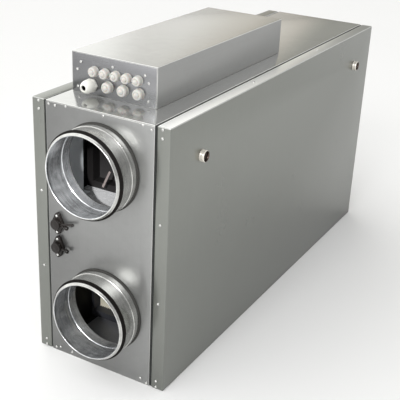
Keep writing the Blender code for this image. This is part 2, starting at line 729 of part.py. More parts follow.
def tapping_flange_bmesh():
    """A rhombic flange: the hull of its middle disc and its two screw ears."""
    half_spacing = TAPPING_SCREW_SPACING / 2
    discs = (
        (0, TAPPING_FLANGE_RADIUS),
        (half_spacing, TAPPING_EAR_RADIUS),
        (-half_spacing, TAPPING_EAR_RADIUS),
    )
    bm = bmesh.new()
    for middle, radius in discs:
        for i in range(TAPPING_SEGMENTS):
            angle = math.tau * i / TAPPING_SEGMENTS
            y = radius * math.cos(angle)
            z = middle + radius * math.sin(angle)
            bm.verts.new((FIT_GAP, y, z))
            bm.verts.new((TAPPING_FLANGE_THICKNESS, y, z))
    hull = bmesh.ops.convex_hull(bm, input=bm.verts)
    spare = set(hull["geom_interior"]) | set(hull["geom_unused"])
    inside = [item for item in spare if isinstance(item, bmesh.types.BMVert)]
    bmesh.ops.delete(bm, geom=inside, context="VERTS")
    return bm


def tapping_body_profile():
    """Neck and flat cap."""
    return [
        (FIT_GAP, 0),
        (FIT_GAP, TAPPING_NECK_RADIUS),
        (TAPPING_CAP_START, TAPPING_NECK_RADIUS),
        (TAPPING_CAP_START, TAPPING_CAP_RADIUS),
        (TAPPING_CAP_REACH - TAPPING_CAP_RADIUS * 0.15, TAPPING_CAP_RADIUS),
        (TAPPING_CAP_REACH, TAPPING_CAP_RADIUS * 0.80),
        (TAPPING_CAP_REACH, 0),
    ]


def nozzle_bmesh(length, tip_radius, turn):
    """A hose nozzle with a thicker end, which leaves the body sideways."""
    profile = [
        (0, 0),
        (0, TAPPING_NOZZLE_RADIUS),
        (length - tip_radius * 2.0, TAPPING_NOZZLE_RADIUS),
        (length - tip_radius * 1.5, tip_radius),
        (length - tip_radius * 0.5, tip_radius),
        (length, tip_radius * 0.6),
        (length, 0),
    ]
    bm = turned_solid_bmesh(profile, NOZZLE_SEGMENTS)
    sideways = Matrix.Rotation(math.radians(turn), 4, "X") @ Matrix.Rotation(math.radians(90), 4, "Z")
    spot = Matrix.Translation((TAPPING_NOZZLE_DEPTH, 0, 0))
    bmesh.ops.transform(bm, matrix=spot @ sideways, verts=bm.verts)
    return bm


def build_tappings():
    """Rhombic flange, capped body and side nozzles. Only the upper one has the long nozzle."""
    short_nozzle = (SHORT_NOZZLE_LENGTH, SHORT_NOZZLE_TIP_RADIUS, SHORT_NOZZLE_TURN)
    long_nozzle = (LONG_NOZZLE_LENGTH, LONG_NOZZLE_TIP_RADIUS, LONG_NOZZLE_TURN)
    rows = (
        ("upper_pressure_tapping", TAPPING_MIDDLE + TAPPING_SPACING / 2, (short_nozzle, long_nozzle)),
        ("lower_pressure_tapping", TAPPING_MIDDLE - TAPPING_SPACING / 2, (short_nozzle,)),
    )
    for name, height, nozzles in rows:
        tapping = add_object(name, finish_mesh(name, tapping_flange_bmesh()), "black_plastic")
        join(tapping, turned_solid_bmesh(tapping_body_profile(), TAPPING_SEGMENTS))
        for nozzle in nozzles:
            join(tapping, nozzle_bmesh(*nozzle))
        spot = Matrix.Translation((TAPPING_INSET - BODY_HALF_WIDTH, -HALF_LENGTH, height))
        tapping.data.transform(spot @ end_turn(-1))
        smooth_by_angle(tapping)


def build():
    clear_scene()
    build_end_walls()
    build_body_panels()
    build_service_panels()
    build_spigots()
    build_filters()
    build_locks()
    build_control_box()
    build_tappings()


build()
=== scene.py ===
# Looks of the air handling unit: finer shapes, screws, finishes, floor, light and camera.
# Metres, in the frame of the CAD model: origin in the middle of the base, +Z up, front end to -Y.

import math

import bmesh
import bpy
from mathutils import Matrix, Quaternion, Vector


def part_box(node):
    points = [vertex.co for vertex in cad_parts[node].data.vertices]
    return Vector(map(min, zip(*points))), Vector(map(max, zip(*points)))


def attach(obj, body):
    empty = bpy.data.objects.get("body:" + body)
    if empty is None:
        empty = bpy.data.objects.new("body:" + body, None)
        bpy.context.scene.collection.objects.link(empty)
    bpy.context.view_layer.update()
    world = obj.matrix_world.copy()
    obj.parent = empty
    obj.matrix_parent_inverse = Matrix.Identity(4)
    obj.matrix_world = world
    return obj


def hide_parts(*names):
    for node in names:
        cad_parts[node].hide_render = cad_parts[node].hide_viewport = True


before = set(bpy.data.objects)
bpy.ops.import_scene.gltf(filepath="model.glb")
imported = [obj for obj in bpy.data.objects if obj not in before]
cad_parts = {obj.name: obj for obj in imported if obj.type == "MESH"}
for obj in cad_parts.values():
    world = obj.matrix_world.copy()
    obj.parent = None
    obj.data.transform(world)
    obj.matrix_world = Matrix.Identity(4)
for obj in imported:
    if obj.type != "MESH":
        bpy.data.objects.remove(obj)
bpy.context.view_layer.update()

# Places read from the CAD nodes
PANEL_LOW, PANEL_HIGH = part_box("right_service_panel")
HALF_WIDTH = PANEL_HIGH.x
HALF_LENGTH = PANEL_HIGH.y
CABINET_TOP = PANEL_HIGH.z
PANEL_THICKNESS = PANEL_HIGH.x - PANEL_LOW.x
WALL_LOW, WALL_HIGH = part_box("front_end_wall")
WALL_THICKNESS = WALL_HIGH.y - WALL_LOW.y
BOX_LOW, BOX_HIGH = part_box("control_box_cover")
PARTITION_LOW, PARTITION_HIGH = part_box("partition")
FLOOR_PANEL_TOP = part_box("bottom_panel")[1].z

# Sheet metal
TOP_SKIN = 0.0022
PANEL_FOLD_RADIUS = 0.0024
FOLD_SEGMENTS = 4
BOX_SHEET = 0.0015
BOX_FOLD_RADIUS = 0.0012
CUT_LENGTH = 0.1

# Spigots, in metres from the wall's face and from the axis
TUBE_RADIUS = 0.0795
TUBE_BORE = 0.0772
TUBE_REACH = 0.057
TUBE_BEAD_START = 0.0075
TUBE_BEAD_END = 0.0185
TUBE_BEAD_HEIGHT = 0.0011
SEAL_GROOVE_START = 0.0445
SEAL_GROOVE_END = 0.0530
SEAL_GROOVE_DEPTH = 0.0015
NOSE_SHOULDER = 0.0782
RIM_ROLL_RADIUS = 0.0013
MOUTH_RADIUS = 0.0729
LIP_TIP = 0.0819
TUBE_STEPS = 144

# Chambers behind the spigots
CHAMBER_SKIN = 0.0008
CHAMBER_GAP = 0.0003
CHAMBER_LINING = 0.0120
CHAMBER_FOOT = 0.090
BRACKET_PLACE = 0.036

# Filter media
MEDIA_FOLDS = 44
MEDIA_FOLD_DEPTH = 0.004
MEDIA_THICKNESS = 0.0012
STRAP_WIDTH = 0.0044
STRAP_THICKNESS = 0.0008
STRAP_GAP = 0.0010

# Cable glands, pressure tappings and locks stand this far off the face that carries them
FOOT_GAP = 0.0003

# Cable glands and pressure tappings
FOOT_DEPTH = 0.0057
FOOT_MIDDLE = FOOT_GAP + FOOT_DEPTH / 2
GLAND_REACH = 0.0150
OPEN_NUT_RADIUS = 0.0125
OPEN_NUT_FLUTES = 12
TAPPING_RADIUS = 0.0125
TAPPING_EAR_PLACE = 0.0165
TAPPING_EAR_RADIUS = 0.0055
NOZZLE_RADIUS = 0.0022

# Side nozzles of the tappings: length, radius of the tip, and turn in degrees
SHORT_NOZZLE = (0.0265, 0.004, -6)
LONG_NOZZLE = (0.040, 0.0028, 12)

# Locks
BEZEL_BORE = 0.0084
CORE_RADIUS = 0.0080
CORE_REACH = 0.0065
STUD_RADIUS = 0.0030
STUD_HOLE_RADIUS = 0.0035
WING_SIZE = (0.0035, 0.005, 0.016)

# Screws and rivets
SCREW_RADIUS = 0.0025
SCREW_HEIGHT = 0.0016
RIVET_RADIUS = 0.0021
RIVET_HEIGHT = 0.0010
FLANGE_SCREW_INSET = 0.0115
TOP_SCREWS_BEHIND = (0.328, 0.645)

# Camera, solved from the corners and rims in the photograph
CAMERA_PLACE = Vector((0.8172, -1.5982, 0.9828))
CAMERA_AZIMUTH = math.radians(28.80)
CAMERA_ELEVATION = math.radians(24.26)
CAMERA_ROLL = math.radians(2.79)
CAMERA_LENS = 76.4
CAMERA_SENSOR = 36.0

# Floor, surroundings and lamps
FLOOR_SIZE = 160
FLOOR_GAP = 0.0003
STUDIO_STRENGTH = 0.75
SNOOT_RADIUS = 0.05
SNOOT_BLEND = 0.7

# Turns of a piece that is made along +X, and of a primitive that is made along +Z
TO_FRONT = Matrix.Rotation(math.radians(-90), 4, "Z")
TO_TOP = Matrix.Rotation(math.radians(-90), 4, "Y")
HALF_TURN = Matrix.Rotation(math.pi, 4, "Z")
Z_TO_X = Matrix.Rotation(math.radians(90), 4, "Y")

# Shares of a face's normal: along one axis on a flat side, up on a fold under a top, and towards
# the axis inside a tube
FLAT_SHARE = 0.98
UPWARD_SHARE = 0.3
INWARD_SHARE = 0.2
SMOOTH_ANGLE = math.radians(32)


def deselect_all():
    bpy.ops.object.select_all(action="DESELECT")


def edit(piece):
    """Opens a piece in edit mode with everything in it selected."""
    deselect_all()
    piece.select_set(True)
    bpy.context.view_layer.objects.active = piece
    bpy.ops.object.mode_set(mode="EDIT")
    bpy.ops.mesh.select_mode(type="VERT")
    bpy.ops.mesh.select_all(action="SELECT")


def close_edit(piece):
    """Merges doubles, turns the faces outwards and leaves edit mode."""
    bpy.ops.mesh.select_all(action="SELECT")
    bpy.ops.mesh.remove_doubles(threshold=0.00001)
    bpy.ops.mesh.normals_make_consistent(inside=False)
    bpy.ops.mesh.select_all(action="DESELECT")
    bpy.ops.object.mode_set(mode="OBJECT")
    return piece


def named(name):
    piece = bpy.context.object
    piece.name = name
    piece.data.name = name
    return piece


def select_edges(piece, test):
    """In edit mode, selects the edges whose two ends pass a test."""
    bpy.ops.mesh.select_mode(type="EDGE")
    bpy.ops.mesh.select_all(action="DESELECT")
    mesh = bmesh.from_edit_mesh(piece.data)
    for edge in mesh.edges:
        if test(edge.verts[0].co, edge.verts[1].co):
            edge.select_set(True)
    mesh.select_flush_mode()
    bmesh.update_edit_mesh(piece.data)


def slab(name, low, high, radius, segments=FOLD_SEGMENTS):
    """A sheet-metal block with rounded folds along its edges."""
    low = Vector(low)
    high = Vector(high)
    deselect_all()
    bpy.ops.mesh.primitive_cube_add(size=1, location=(low + high) / 2)
    piece = named(name)
    piece.scale = high - low
    bpy.ops.object.transform_apply(location=True, rotation=True, scale=True)
    edit(piece)
    bpy.ops.mesh.bevel(offset=radius, segments=segments, affect="EDGES")
    return close_edit(piece)


def turned(name, profile, steps, ring=True):
    """Spins (along, radius) points round +X. A ring's outline closes, a solid's runs pole to pole."""
    deselect_all()
    bpy.ops.mesh.primitive_plane_add(size=0.001)
    piece = named(name)
    edit(piece)
    bpy.ops.mesh.merge(type="CENTER")
    bpy.ops.transform.translate(value=(profile[0][0], 0, profile[0][1]))
    outline = profile + profile[:1] if ring else profile
    for (start, radius), (end, end_radius) in zip(outline, outline[1:]):
        shift = (end - start, 0, end_radius - radius)
        bpy.ops.mesh.extrude_region_move(TRANSFORM_OT_translate={"value": shift})
    bpy.ops.mesh.select_all(action="SELECT")
    bpy.ops.mesh.spin(steps=steps, angle=math.tau, center=(0, 0, 0), axis=(1, 0, 0))
    return close_edit(piece)


def arc(along, radius, size, start, end, count):
    """Points of a rounding, from one angle to another in degrees, 0 along +X and 90 outwards."""
    points = []
    for i in range(count + 1):
        angle = math.radians(start + (end - start) * i / count)
        points.append((along + size * math.cos(angle), radius + size * math.sin(angle)))
    return points


def bead(radius):
    """Points of the flat-topped bead that is rolled into the tube, on a line at a radius."""
    step = TUBE_BEAD_HEIGHT * 0.9
    return [
        (TUBE_BEAD_START, radius),
        (TUBE_BEAD_START + step * 0.3, radius + TUBE_BEAD_HEIGHT * 0.2),
        (TUBE_BEAD_START + step, radius + TUBE_BEAD_HEIGHT * 0.9),
        (TUBE_BEAD_START + step * 1.6, radius + TUBE_BEAD_HEIGHT),
        (TUBE_BEAD_END - step * 1.6, radius + TUBE_BEAD_HEIGHT),
        (TUBE_BEAD_END - step, radius + TUBE_BEAD_HEIGHT * 0.9),
        (TUBE_BEAD_END - step * 0.3, radius + TUBE_BEAD_HEIGHT * 0.2),
        (TUBE_BEAD_END, radius),
    ]


def put(piece, matrix):
    """Moves a piece in its mesh, so that its object stays at the origin."""
    piece.data.transform(matrix)
    if matrix.determinant() < 0:
        piece.data.flip_normals()
    return piece


def rod(name, vertices, radius, length, matrix):
    """A cylinder round the X axis of a matrix, with its middle at the origin."""
    deselect_all()
    bpy.ops.mesh.primitive_cylinder_add(vertices=vertices, radius=radius, depth=length)
    return put(named(name), matrix @ Z_TO_X)


def twin(piece, name, matrix):
    """A copy with its own mesh."""
    made = piece.copy()
    made.data = piece.data.copy()
    made.name = name
    made.data.name = name
    bpy.context.scene.collection.objects.link(made)
    return put(made, matrix)


def drop(piece):
    bpy.data.objects.remove(piece, do_unlink=True)


def join(name, pieces):
    deselect_all()
    for piece in pieces:
        piece.select_set(True)
    bpy.context.view_layer.objects.active = pieces[0]
    bpy.ops.object.join()
    return named(name)


def combine(piece, other, operation):
    """Adds or cuts another piece with a Boolean, then removes it."""
    deselect_all()
    piece.select_set(True)
    bpy.context.view_layer.objects.active = piece
    boolean = piece.modifiers.new("combine", "BOOLEAN")
    boolean.operation = operation
    boolean.solver = "EXACT"
    boolean.object = other
    bpy.ops.object.modifier_apply(modifier=boolean.name)
    drop(other)
    return piece


def finish(piece, surface, body="cabinet", nodes=()):
    """Gives a piece its finish, its body and the CAD nodes that it stands for."""
    piece.data.materials.clear()
    piece.data.materials.append(surface)
    deselect_all()
    piece.select_set(True)
    bpy.context.view_layer.objects.active = piece
    bpy.ops.object.shade_smooth_by_angle(angle=SMOOTH_ANGLE)
    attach(piece, body)
    if nodes:
        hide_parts(*nodes)
    return piece


def refinish(piece, surface, test):
    """Gives the faces whose place and normal pass a test a finish of their own."""
    index = len(piece.data.materials)
    piece.data.materials.append(surface)
    for face in piece.data.polygons:
        if test(face.center, face.normal):
            face.material_index = index


def on_fold(place, normal):
    return max(abs(normal.x), abs(normal.y), abs(normal.z)) < FLAT_SHARE


def on_upper_fold(place, normal):
    return UPWARD_SHARE < normal.z < FLAT_SHARE


def on_top(place, normal):
    return normal.z > FLAT_SHARE


class Value:
    """A socket of a shader. Python's operators add the Math nodes."""

    def __init__(self, shader, socket):
        self.shader = shader
        self.socket = socket

    def math(self, operation, first, second):
        return self.shader.node("ShaderNodeMath", {"operation": operation}, {0: first, 1: second})

    def __add__(self, other):
        return self.math("ADD", self, other)

    def __sub__(self, other):
        return self.math("SUBTRACT", self, other)

    def __rsub__(self, other):
        return self.math("SUBTRACT", other, self)

    def __mul__(self, other):
        return self.math("MULTIPLY", self, other)

    def __truediv__(self, other):
        return self.math("DIVIDE", self, other)

    __radd__ = __add__
    __rmul__ = __mul__


class Shader:
    """The node tree of a finish or of the surroundings."""

    def __init__(self, owner):
        owner.use_nodes = True
        self.owner = owner
        self.tree = owner.node_tree

    def feed(self, socket, value):
        if isinstance(value, Value):
            self.tree.links.new(value.socket, socket)
        else:
            socket.default_value = value

    def node(self, kind, settings=None, values=None, output=0):
        """Adds a node, sets it, then feeds its sockets."""
        made = self.tree.nodes.new(kind)
        for key, value in (settings or {}).items():
            if key == "stops":
                self.set_stops(made.color_ramp, value)
            else:
                setattr(made, key, value)
        for key, value in (values or {}).items():
            self.feed(made.inputs[key], value)
        return Value(self, made.outputs[output])

    def set_stops(self, ramp, stops):
        while len(ramp.elements) < len(stops):
            ramp.elements.new(1.0)
        for element, (place, color) in zip(ramp.elements, stops):
            element.position = place
            element.color = (*color, 1.0)


class Finish(Shader):
    """A procedural material round one Principled BSDF."""

    def __init__(self, name, color, roughness, metallic=0.0, **constants):
        super().__init__(bpy.data.materials.new(name))
        self.surface = self.tree.nodes["Principled BSDF"]
        self.color = color
        self.surface.inputs["Base Color"].default_value = (*color, 1.0)
        self.surface.inputs["Roughness"].default_value = roughness
        self.surface.inputs["Metallic"].default_value = metallic
        for key, value in constants.items():
            self.surface.inputs[key.replace("_", " ")].default_value = value
        self.owner.diffuse_color = (*color, 1.0)

    def coordinates(self, stretch):
        """Object coordinates, multiplied by a stretch for each axis."""
        place = self.node("ShaderNodeTexCoord", output="Object")
        return self.node("ShaderNodeMapping", values={"Vector": place, "Scale": stretch})

    def noise(self, stretch, detail=2.0, roughness=0.5):
        """Noise from 0 to 1. The stretch is the number of grains in a metre along each axis."""
        values = {"Vector": self.coordinates(stretch), "Scale": 1.0}
        values.update({"Detail": detail, "Roughness": roughness})
        return self.node("ShaderNodeTexNoise", values=values)

    def crystals(self, stretch):
        """Grey value of each cell of a crystal pattern."""
        values = {"Vector": self.coordinates(stretch), "Scale": 1.0}
        cell = self.node("ShaderNodeTexVoronoi", values=values, output="Color")
        return self.node("ShaderNodeSeparateColor", values={"Color": cell})

    def tone(self, factor, dark, light):
        """A colour between the finish's own colour times dark and times light."""
        stops = ((0.0, [c * dark for c in self.color]), (1.0, [c * light for c in self.color]))
        return self.node("ShaderNodeValToRGB", {"stops": stops}, {"Fac": factor})

    def bump(self, height, distance, strength=1.0, under=None):
        values = {"Height": height, "Distance": distance, "Strength": strength}
        if under:
            values["Normal"] = under
        return self.node("ShaderNodeBump", values=values)

    def show(self, color=None, roughness=None, normal=None):
        """Feeds what changes over the surface and hands the material back."""
        if color:
            self.feed(self.surface.inputs["Base Color"], color)
        if roughness:
            self.feed(self.surface.inputs["Roughness"], roughness)
        if normal:
            self.feed(self.surface.inputs["Normal"], normal)
        return self.owner


def galvanised(name, color, roughness, brush, spangle=1.0, wave=1.0, metallic=0.96, painted_light_slope=(0, 0, 0)):
    """Zinc-coated sheet with faint crystals, rolling lines, a slight wave and a painted gradient of
    light and shade.

    The brush is the number of lines, and painted_light_slope the painted tone gained, in a metre along
    each axis.
    """
    sheet = Finish(name, color, roughness, metallic)
    lines = sheet.noise(brush, 3.0, 0.55)
    crystal = sheet.crystals((90, 90, 90))
    cloud = sheet.noise((6, 6, 6), 2.0)
    factor = lines * 0.35 + crystal * (0.16 * spangle) + cloud * 0.5
    place = sheet.node("ShaderNodeTexCoord", output="Object")
    product = {"operation": "DOT_PRODUCT"}
    # Painted light and shade: a tone gradient along painted_light_slope, standing in for the brighter
    # and darker surroundings that the sheet reflects.
    painted_light_rise = sheet.node("ShaderNodeVectorMath", product, {0: place, 1: painted_light_slope}, "Value")
    tone = sheet.tone((factor - 0.5) * 0.25 + painted_light_rise + 0.5, 0.5, 1.5)
    rough = lines * 0.03 + crystal * (0.02 * spangle) + cloud * 0.06 + (roughness - 0.05)
    waves = sheet.noise((4.0, 4.0, 4.0), 1.0)
    return sheet.show(tone, rough, sheet.bump(waves, 0.0012 * wave))


def round_steel(name, color, roughness, metallic, dark, light):
    """Bright zinc on a rolled tube: streaks round and along it, and dull patches."""
    steel = Finish(name, color, roughness, metallic)
    streaks = steel.noise((30, 240, 30), 3.0, 0.6)
    patches = steel.noise((45, 22, 45), 3.0, 0.6)
    crystal = steel.crystals((130, 130, 130))
    factor = streaks * 0.45 + patches * 0.50 + crystal * 0.05
    tone = steel.tone(factor * 1.6 - 0.3, dark, light)
    rough = patches * 0.22 + streaks * 0.10 + (roughness - 0.13)
    dents = steel.noise((24, 10, 24), 1.0)
    dented = steel.bump(dents, 0.0008)
    scratched = steel.bump(streaks, 0.00002, 1.0, dented)
    return steel.show(tone, rough, scratched)


def matt_black(name, color, roughness, grain, depth, shine=0.5):
    """Rubber, foam or moulded black plastic with a fine grain."""
    black = Finish(name, color, roughness, Specular_IOR_Level=shine)
    fine = black.noise((grain, grain, grain), 3.0)
    dust = black.noise((40, 40, 40), 3.0)
    tone = black.tone(fine * 0.4 + dust * 0.6, 0.6, 1.7)
    rough = dust * 0.25 + (roughness - 0.12)
    return black.show(tone, rough, black.bump(fine, depth))


def moulded_plastic(name, color, roughness, **constants):
    """Pale moulded plastic with a slight mottle."""
    plastic = Finish(name, color, roughness, **constants)
    mottle = plastic.noise((260, 260, 260), 2.0)
    fine = plastic.noise((2400, 2400, 2400), 2.0)
    tone = plastic.tone(mottle, 0.90, 1.06)
    rough = mottle * 0.14 + (roughness - 0.07)
    return plastic.show(tone, rough, plastic.bump(fine, 0.00003))


def plated(name, color, roughness, metallic=1.0):
    """Plated or bare turned metal, with fine turning marks."""
    metal = Finish(name, color, roughness, metallic)
    marks = metal.noise((1800, 1800, 1800), 2.0)
    stain = metal.noise((220, 220, 220), 3.0)
    tone = metal.tone(stain, 0.80, 1.15)
    rough = stain * 0.16 + (roughness - 0.08)
    return metal.show(tone, rough, metal.bump(marks, 0.00002))


def fleece(name, color):
    """Filter media: a felt of fine fibres."""
    felt = Finish(name, color, 0.95)
    fibres = felt.noise((700, 700, 220), 4.0, 0.7)
    clumps = felt.noise((90, 90, 90), 3.0)
    tone = felt.tone(fibres * 0.6 + clumps * 0.4, 0.65, 1.30)
    return felt.show(tone, None, felt.bump(fibres, 0.0004))


SHEET_GREY = (0.50, 0.504, 0.492)

# Brushes: number of rolling lines in a metre along each axis
LINES_UP = (500, 500, 14)
LINES_ALONG = (800, 12, 800)
LINES_ACROSS = (12, 800, 800)
GRAIN = (300, 300, 300)

# Finishes
# Painted shade and light: the walls' dark base colour and their gradient, lighter towards +X and
# upwards, stand in for the dim floor that they reflect.
WALL_SHEET = galvanised(
    "galvanised_wall", (0.242, 0.244, 0.241), 0.34, (900, 900, 14), metallic=0.84, painted_light_slope=(2.0, 0, 0.30)
)
TOP_SHEET = galvanised("galvanised_top", SHEET_GREY, 0.16, (900, 14, 900), 1.0, 0.4, 0.78)
# The panels' dark greenish grey is partly their own colour and partly painted shade; their gradient,
# lighter towards the front and upwards, is painted light.
SIDE_SHEET = galvanised(
    "galvanised_panel", (0.200, 0.206, 0.192), 0.29, (700, 700, 12), 0.4, 0.7, painted_light_slope=(0, -0.30, 0.35)
)
BOX_TOP = galvanised("galvanised_box_top", SHEET_GREY, 0.22, LINES_ALONG, 1.2, 0.6)
# Painted shade: the box's sides and its base take a darker copy of the sheet on the box's top.
BOX_SIDE_PAINTED_SHADE = galvanised("galvanised_box_side", (0.36, 0.362, 0.358), 0.42, LINES_ALONG, 0.8, 0.4)
# Painted light: the plates' gradient makes them lighter towards +X.
BOX_PLATE = galvanised(
    "galvanised_box_plate", (0.27, 0.272, 0.280), 0.26, LINES_ACROSS, 0.8, 0.4, painted_light_slope=(1.5, 0, 0)
)
# Painted light: a lighter copy of the panel sheet for the right panel's top faces, with a gradient
# lighter towards the front.
PANEL_TOP_PAINTED_LIGHT = galvanised(
    "galvanised_panel_top", (0.72, 0.725, 0.70), 0.30, LINES_ALONG, 0.8, 0.6, 0.5, painted_light_slope=(0, -1.2, 0)
)
# Painted highlights: pale copies of the sheet for the rounded folds, standing in for the glints along
# the bends.
PANEL_EDGE_PAINTED_HIGHLIGHT = galvanised("galvanised_panel_edge", (0.55, 0.56, 0.54), 0.34, GRAIN, 0.6, 0.4)
EDGE_PAINTED_HIGHLIGHT = galvanised("galvanised_edge", (0.80, 0.80, 0.78), 0.36, GRAIN, 0.6, 0.4)
# Pale galvanised liner of the upper chambers; its raised brightness is partly painted light of the lit
# chamber.
LINER_SHEET = galvanised("galvanised_liner", (0.82, 0.85, 0.87), 0.30, LINES_UP, 0.8, 1.0, 0.12)
CHAMBER_SHEET = galvanised("galvanised_chamber", (0.52, 0.525, 0.53), 0.27, LINES_UP, 1.2, 1.0, 0.30)
TUBE_STEEL = round_steel("tube_steel", (0.60, 0.60, 0.58), 0.17, 0.90, 0.50, 1.40)
TUBE_INSIDE = round_steel("tube_inside", (0.60, 0.615, 0.63), 0.18, 0.74, 0.15, 1.80)
LIP_RUBBER = matt_black("lip_rubber", (0.006, 0.005, 0.0045), 0.70, 900, 0.00006, 0.10)
SEAM_FOAM = matt_black("seam_foam", (0.016, 0.018, 0.017), 0.85, 1400, 0.0003)
# Partly painted shade: the dark rings at each spigot's base and inner end stand for a thin seal and for
# the shade of the joints.
BASE_SEAL_AND_SHADE = matt_black("base_sealant", (0.036, 0.035, 0.032), 0.60, 500, 0.0001, 0.3)
TAPPING_PLASTIC = matt_black("tapping_plastic", (0.011, 0.009, 0.008), 0.34, 1500, 0.00004, 0.3)
HOLDER_PLASTIC = matt_black("holder_plastic", (0.022, 0.023, 0.027), 0.50, 800, 0.00008)
FRAME_PLASTIC = matt_black("frame_plastic", (0.005, 0.0045, 0.0045), 0.55, 800, 0.00008, 0.2)
TRAY_PLASTIC = matt_black("tray_plastic", (0.110, 0.112, 0.120), 0.42, 300, 0.00008)
GLAND_PLASTIC = moulded_plastic(
    "gland_plastic_finish", (0.60, 0.585, 0.55), 0.22, Subsurface_Weight=0.15, Subsurface_Scale=0.002
)
WHITE_PLASTIC = moulded_plastic("white_plastic_finish", (0.92, 0.915, 0.86), 0.34)
LOCK_CHROME = plated("lock_chrome_finish", (0.92, 0.87, 0.79), 0.30, 0.50)
# Dark finish of the lock cores; on the bezels' bores it is painted shade.
LOCK_DARK = plated("lock_dark_finish", (0.10, 0.075, 0.065), 0.35)
SCREW_ZINC = plated("screw_zinc", (0.72, 0.72, 0.70), 0.26, 0.7)
PALE_MEDIA = fleece("pale_media", (0.66, 0.63, 0.52))
DARK_MEDIA = fleece("dark_media", (0.008, 0.007, 0.007))
STRAP_WEB = fleece("strap_web", (0.12, 0.10, 0.095))


def spigot_spots():
    """(name, direction, matrix) of each spigot: its axis made along +X points out of the end wall."""
    spots = []
    for end in ("front", "rear"):
        for row in ("upper", "lower"):
            name = f"{end}_{row}"
            low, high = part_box(name + "_spigot")
            sign = -1 if end == "front" else 1
            middle = ((low.x + high.x) / 2, sign * HALF_LENGTH, (low.z + high.z) / 2)
            turn = TO_FRONT if end == "front" else HALF_TURN @ TO_FRONT
            spots.append((name, end, Matrix.Translation(middle) @ turn))
    return spots


def tube_profile():
    """Outer line with bead, seal groove and tapered nose, the rolled rim, then the inner line."""
    groove = TUBE_RADIUS - SEAL_GROOVE_DEPTH
    roll = TUBE_REACH - RIM_ROLL_RADIUS
    outside = [(-WALL_THICKNESS, TUBE_RADIUS), (0.003, TUBE_RADIUS)]
    outside += bead(TUBE_RADIUS)
    outside += [(SEAL_GROOVE_START - 0.0004, TUBE_RADIUS), (SEAL_GROOVE_START, groove)]
    outside += [(SEAL_GROOVE_END, groove), (SEAL_GROOVE_END, NOSE_SHOULDER)]
    outside += arc(roll, MOUTH_RADIUS + RIM_ROLL_RADIUS * 1.35, RIM_ROLL_RADIUS, 75, -110, 14)
    inside = [(SEAL_GROOVE_END - 0.0005, MOUTH_RADIUS + 0.0019), (SEAL_GROOVE_END - 0.003, TUBE_BORE)]
    inside += bead(TUBE_BORE)[::-1]
    return outside + inside + [(-WALL_THICKNESS, TUBE_BORE)]


def lip_seal_profile():
    """A band that sits in the groove, with a low front lip and a taller one swept back."""
    seat = TUBE_RADIUS - SEAL_GROOVE_DEPTH + 0.0003
    back = SEAL_GROOVE_START + 0.0003
    front = SEAL_GROOVE_END - 0.0003
    return [
        (back, seat),
        (front, seat),
        (front, NOSE_SHOULDER + 0.0004),
        (front - 0.0008, NOSE_SHOULDER + 0.0012),
        (front - 0.0024, NOSE_SHOULDER + 0.0022),
        (front - 0.0028, NOSE_SHOULDER + 0.0021),
        (front - 0.0030, NOSE_SHOULDER + 0.0017),
        (front - 0.0036, LIP_TIP - 0.0009),
        (front - 0.0050, LIP_TIP - 0.0001),
        (front - 0.0058, LIP_TIP),
        (front - 0.0064, LIP_TIP - 0.0003),
        (front - 0.0067, seat + 0.0012),
        (back, seat + 0.0010),
    ]


def base_seal_and_shade_profile():
    """A rounded rubber ring between the tube and the wall; its dark colour is partly painted shade of
    the joint.
    """
    inner = TUBE_RADIUS + 0.0002
    points = [(0.0001, inner), (0.0001, inner + 0.0028), (0.0007, inner + 0.0030)]
    points += [(0.0018, inner + 0.0026), (0.0027, inner + 0.0017), (0.0033, inner + 0.0007)]
    return points + [(0.0033, inner)]


def inner_shade_ring_profile():
    """A dark ring round the tube's inner end, behind the wall: painted shade of the gap there."""
    front = -WALL_THICKNESS - 0.0002
    back = front - 0.0012
    return [(front, TUBE_BORE - 0.0004), (front, TUBE_RADIUS), (back, TUBE_RADIUS), (back, TUBE_BORE)]


def faces_axis(matrix):
    """A test for the faces that look towards the axis of a turned piece."""
    along = matrix.to_3x3() @ Vector((1, 0, 0))

    def test(place, normal):
        offset = place - matrix.translation
        outwards = (offset - along * offset.dot(along)).normalized()
        return normal.dot(outwards) < -INWARD_SHARE

    return test


def build_spigots():
    tube = turned("tube", tube_profile(), TUBE_STEPS)
    lip = turned("lip", lip_seal_profile(), TUBE_STEPS)
    seal_and_shade_rings = (base_seal_and_shade_profile(), inner_shade_ring_profile())
    base = join("base", [turned("base", profile, TUBE_STEPS) for profile in seal_and_shade_rings])
    for name, end, matrix in spigot_spots():
        made = twin(tube, name + "_tube", matrix)
        finish(made, TUBE_STEEL, nodes=[name + "_spigot"])
        refinish(made, TUBE_INSIDE, faces_axis(matrix))
        made = twin(lip, name + "_lip_ring", matrix)
        finish(made, LIP_RUBBER, nodes=[name + "_lip_seal"])
        # Partly painted shade: the dark rings at the base and behind the wall.
        made = twin(base, name + "_base_seal", matrix)
        finish(made, BASE_SEAL_AND_SHADE)
    for piece in (tube, lip, base):
        drop(piece)


def build_end_walls():
    """End walls with folded edges and a round opening behind each spigot."""
    for end in ("front", "rear"):
        low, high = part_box(end + "_end_wall")
        high.z -= TOP_SKIN + 0.0002
        wall = slab(end + "_wall_sheet", low, high, 0.0005, 2)
        for name, side, matrix in spigot_spots():
            if side != end:
                continue
            hole = rod("hole", TUBE_STEPS, TUBE_RADIUS + 0.0001, CUT_LENGTH, matrix)
            combine(wall, hole, "DIFFERENCE")
        finish(wall, WALL_SHEET, nodes=[end + "_end_wall"])
        # Painted highlight: the folds take a pale copy of the sheet.
        refinish(wall, EDGE_PAINTED_HIGHLIGHT, on_fold)


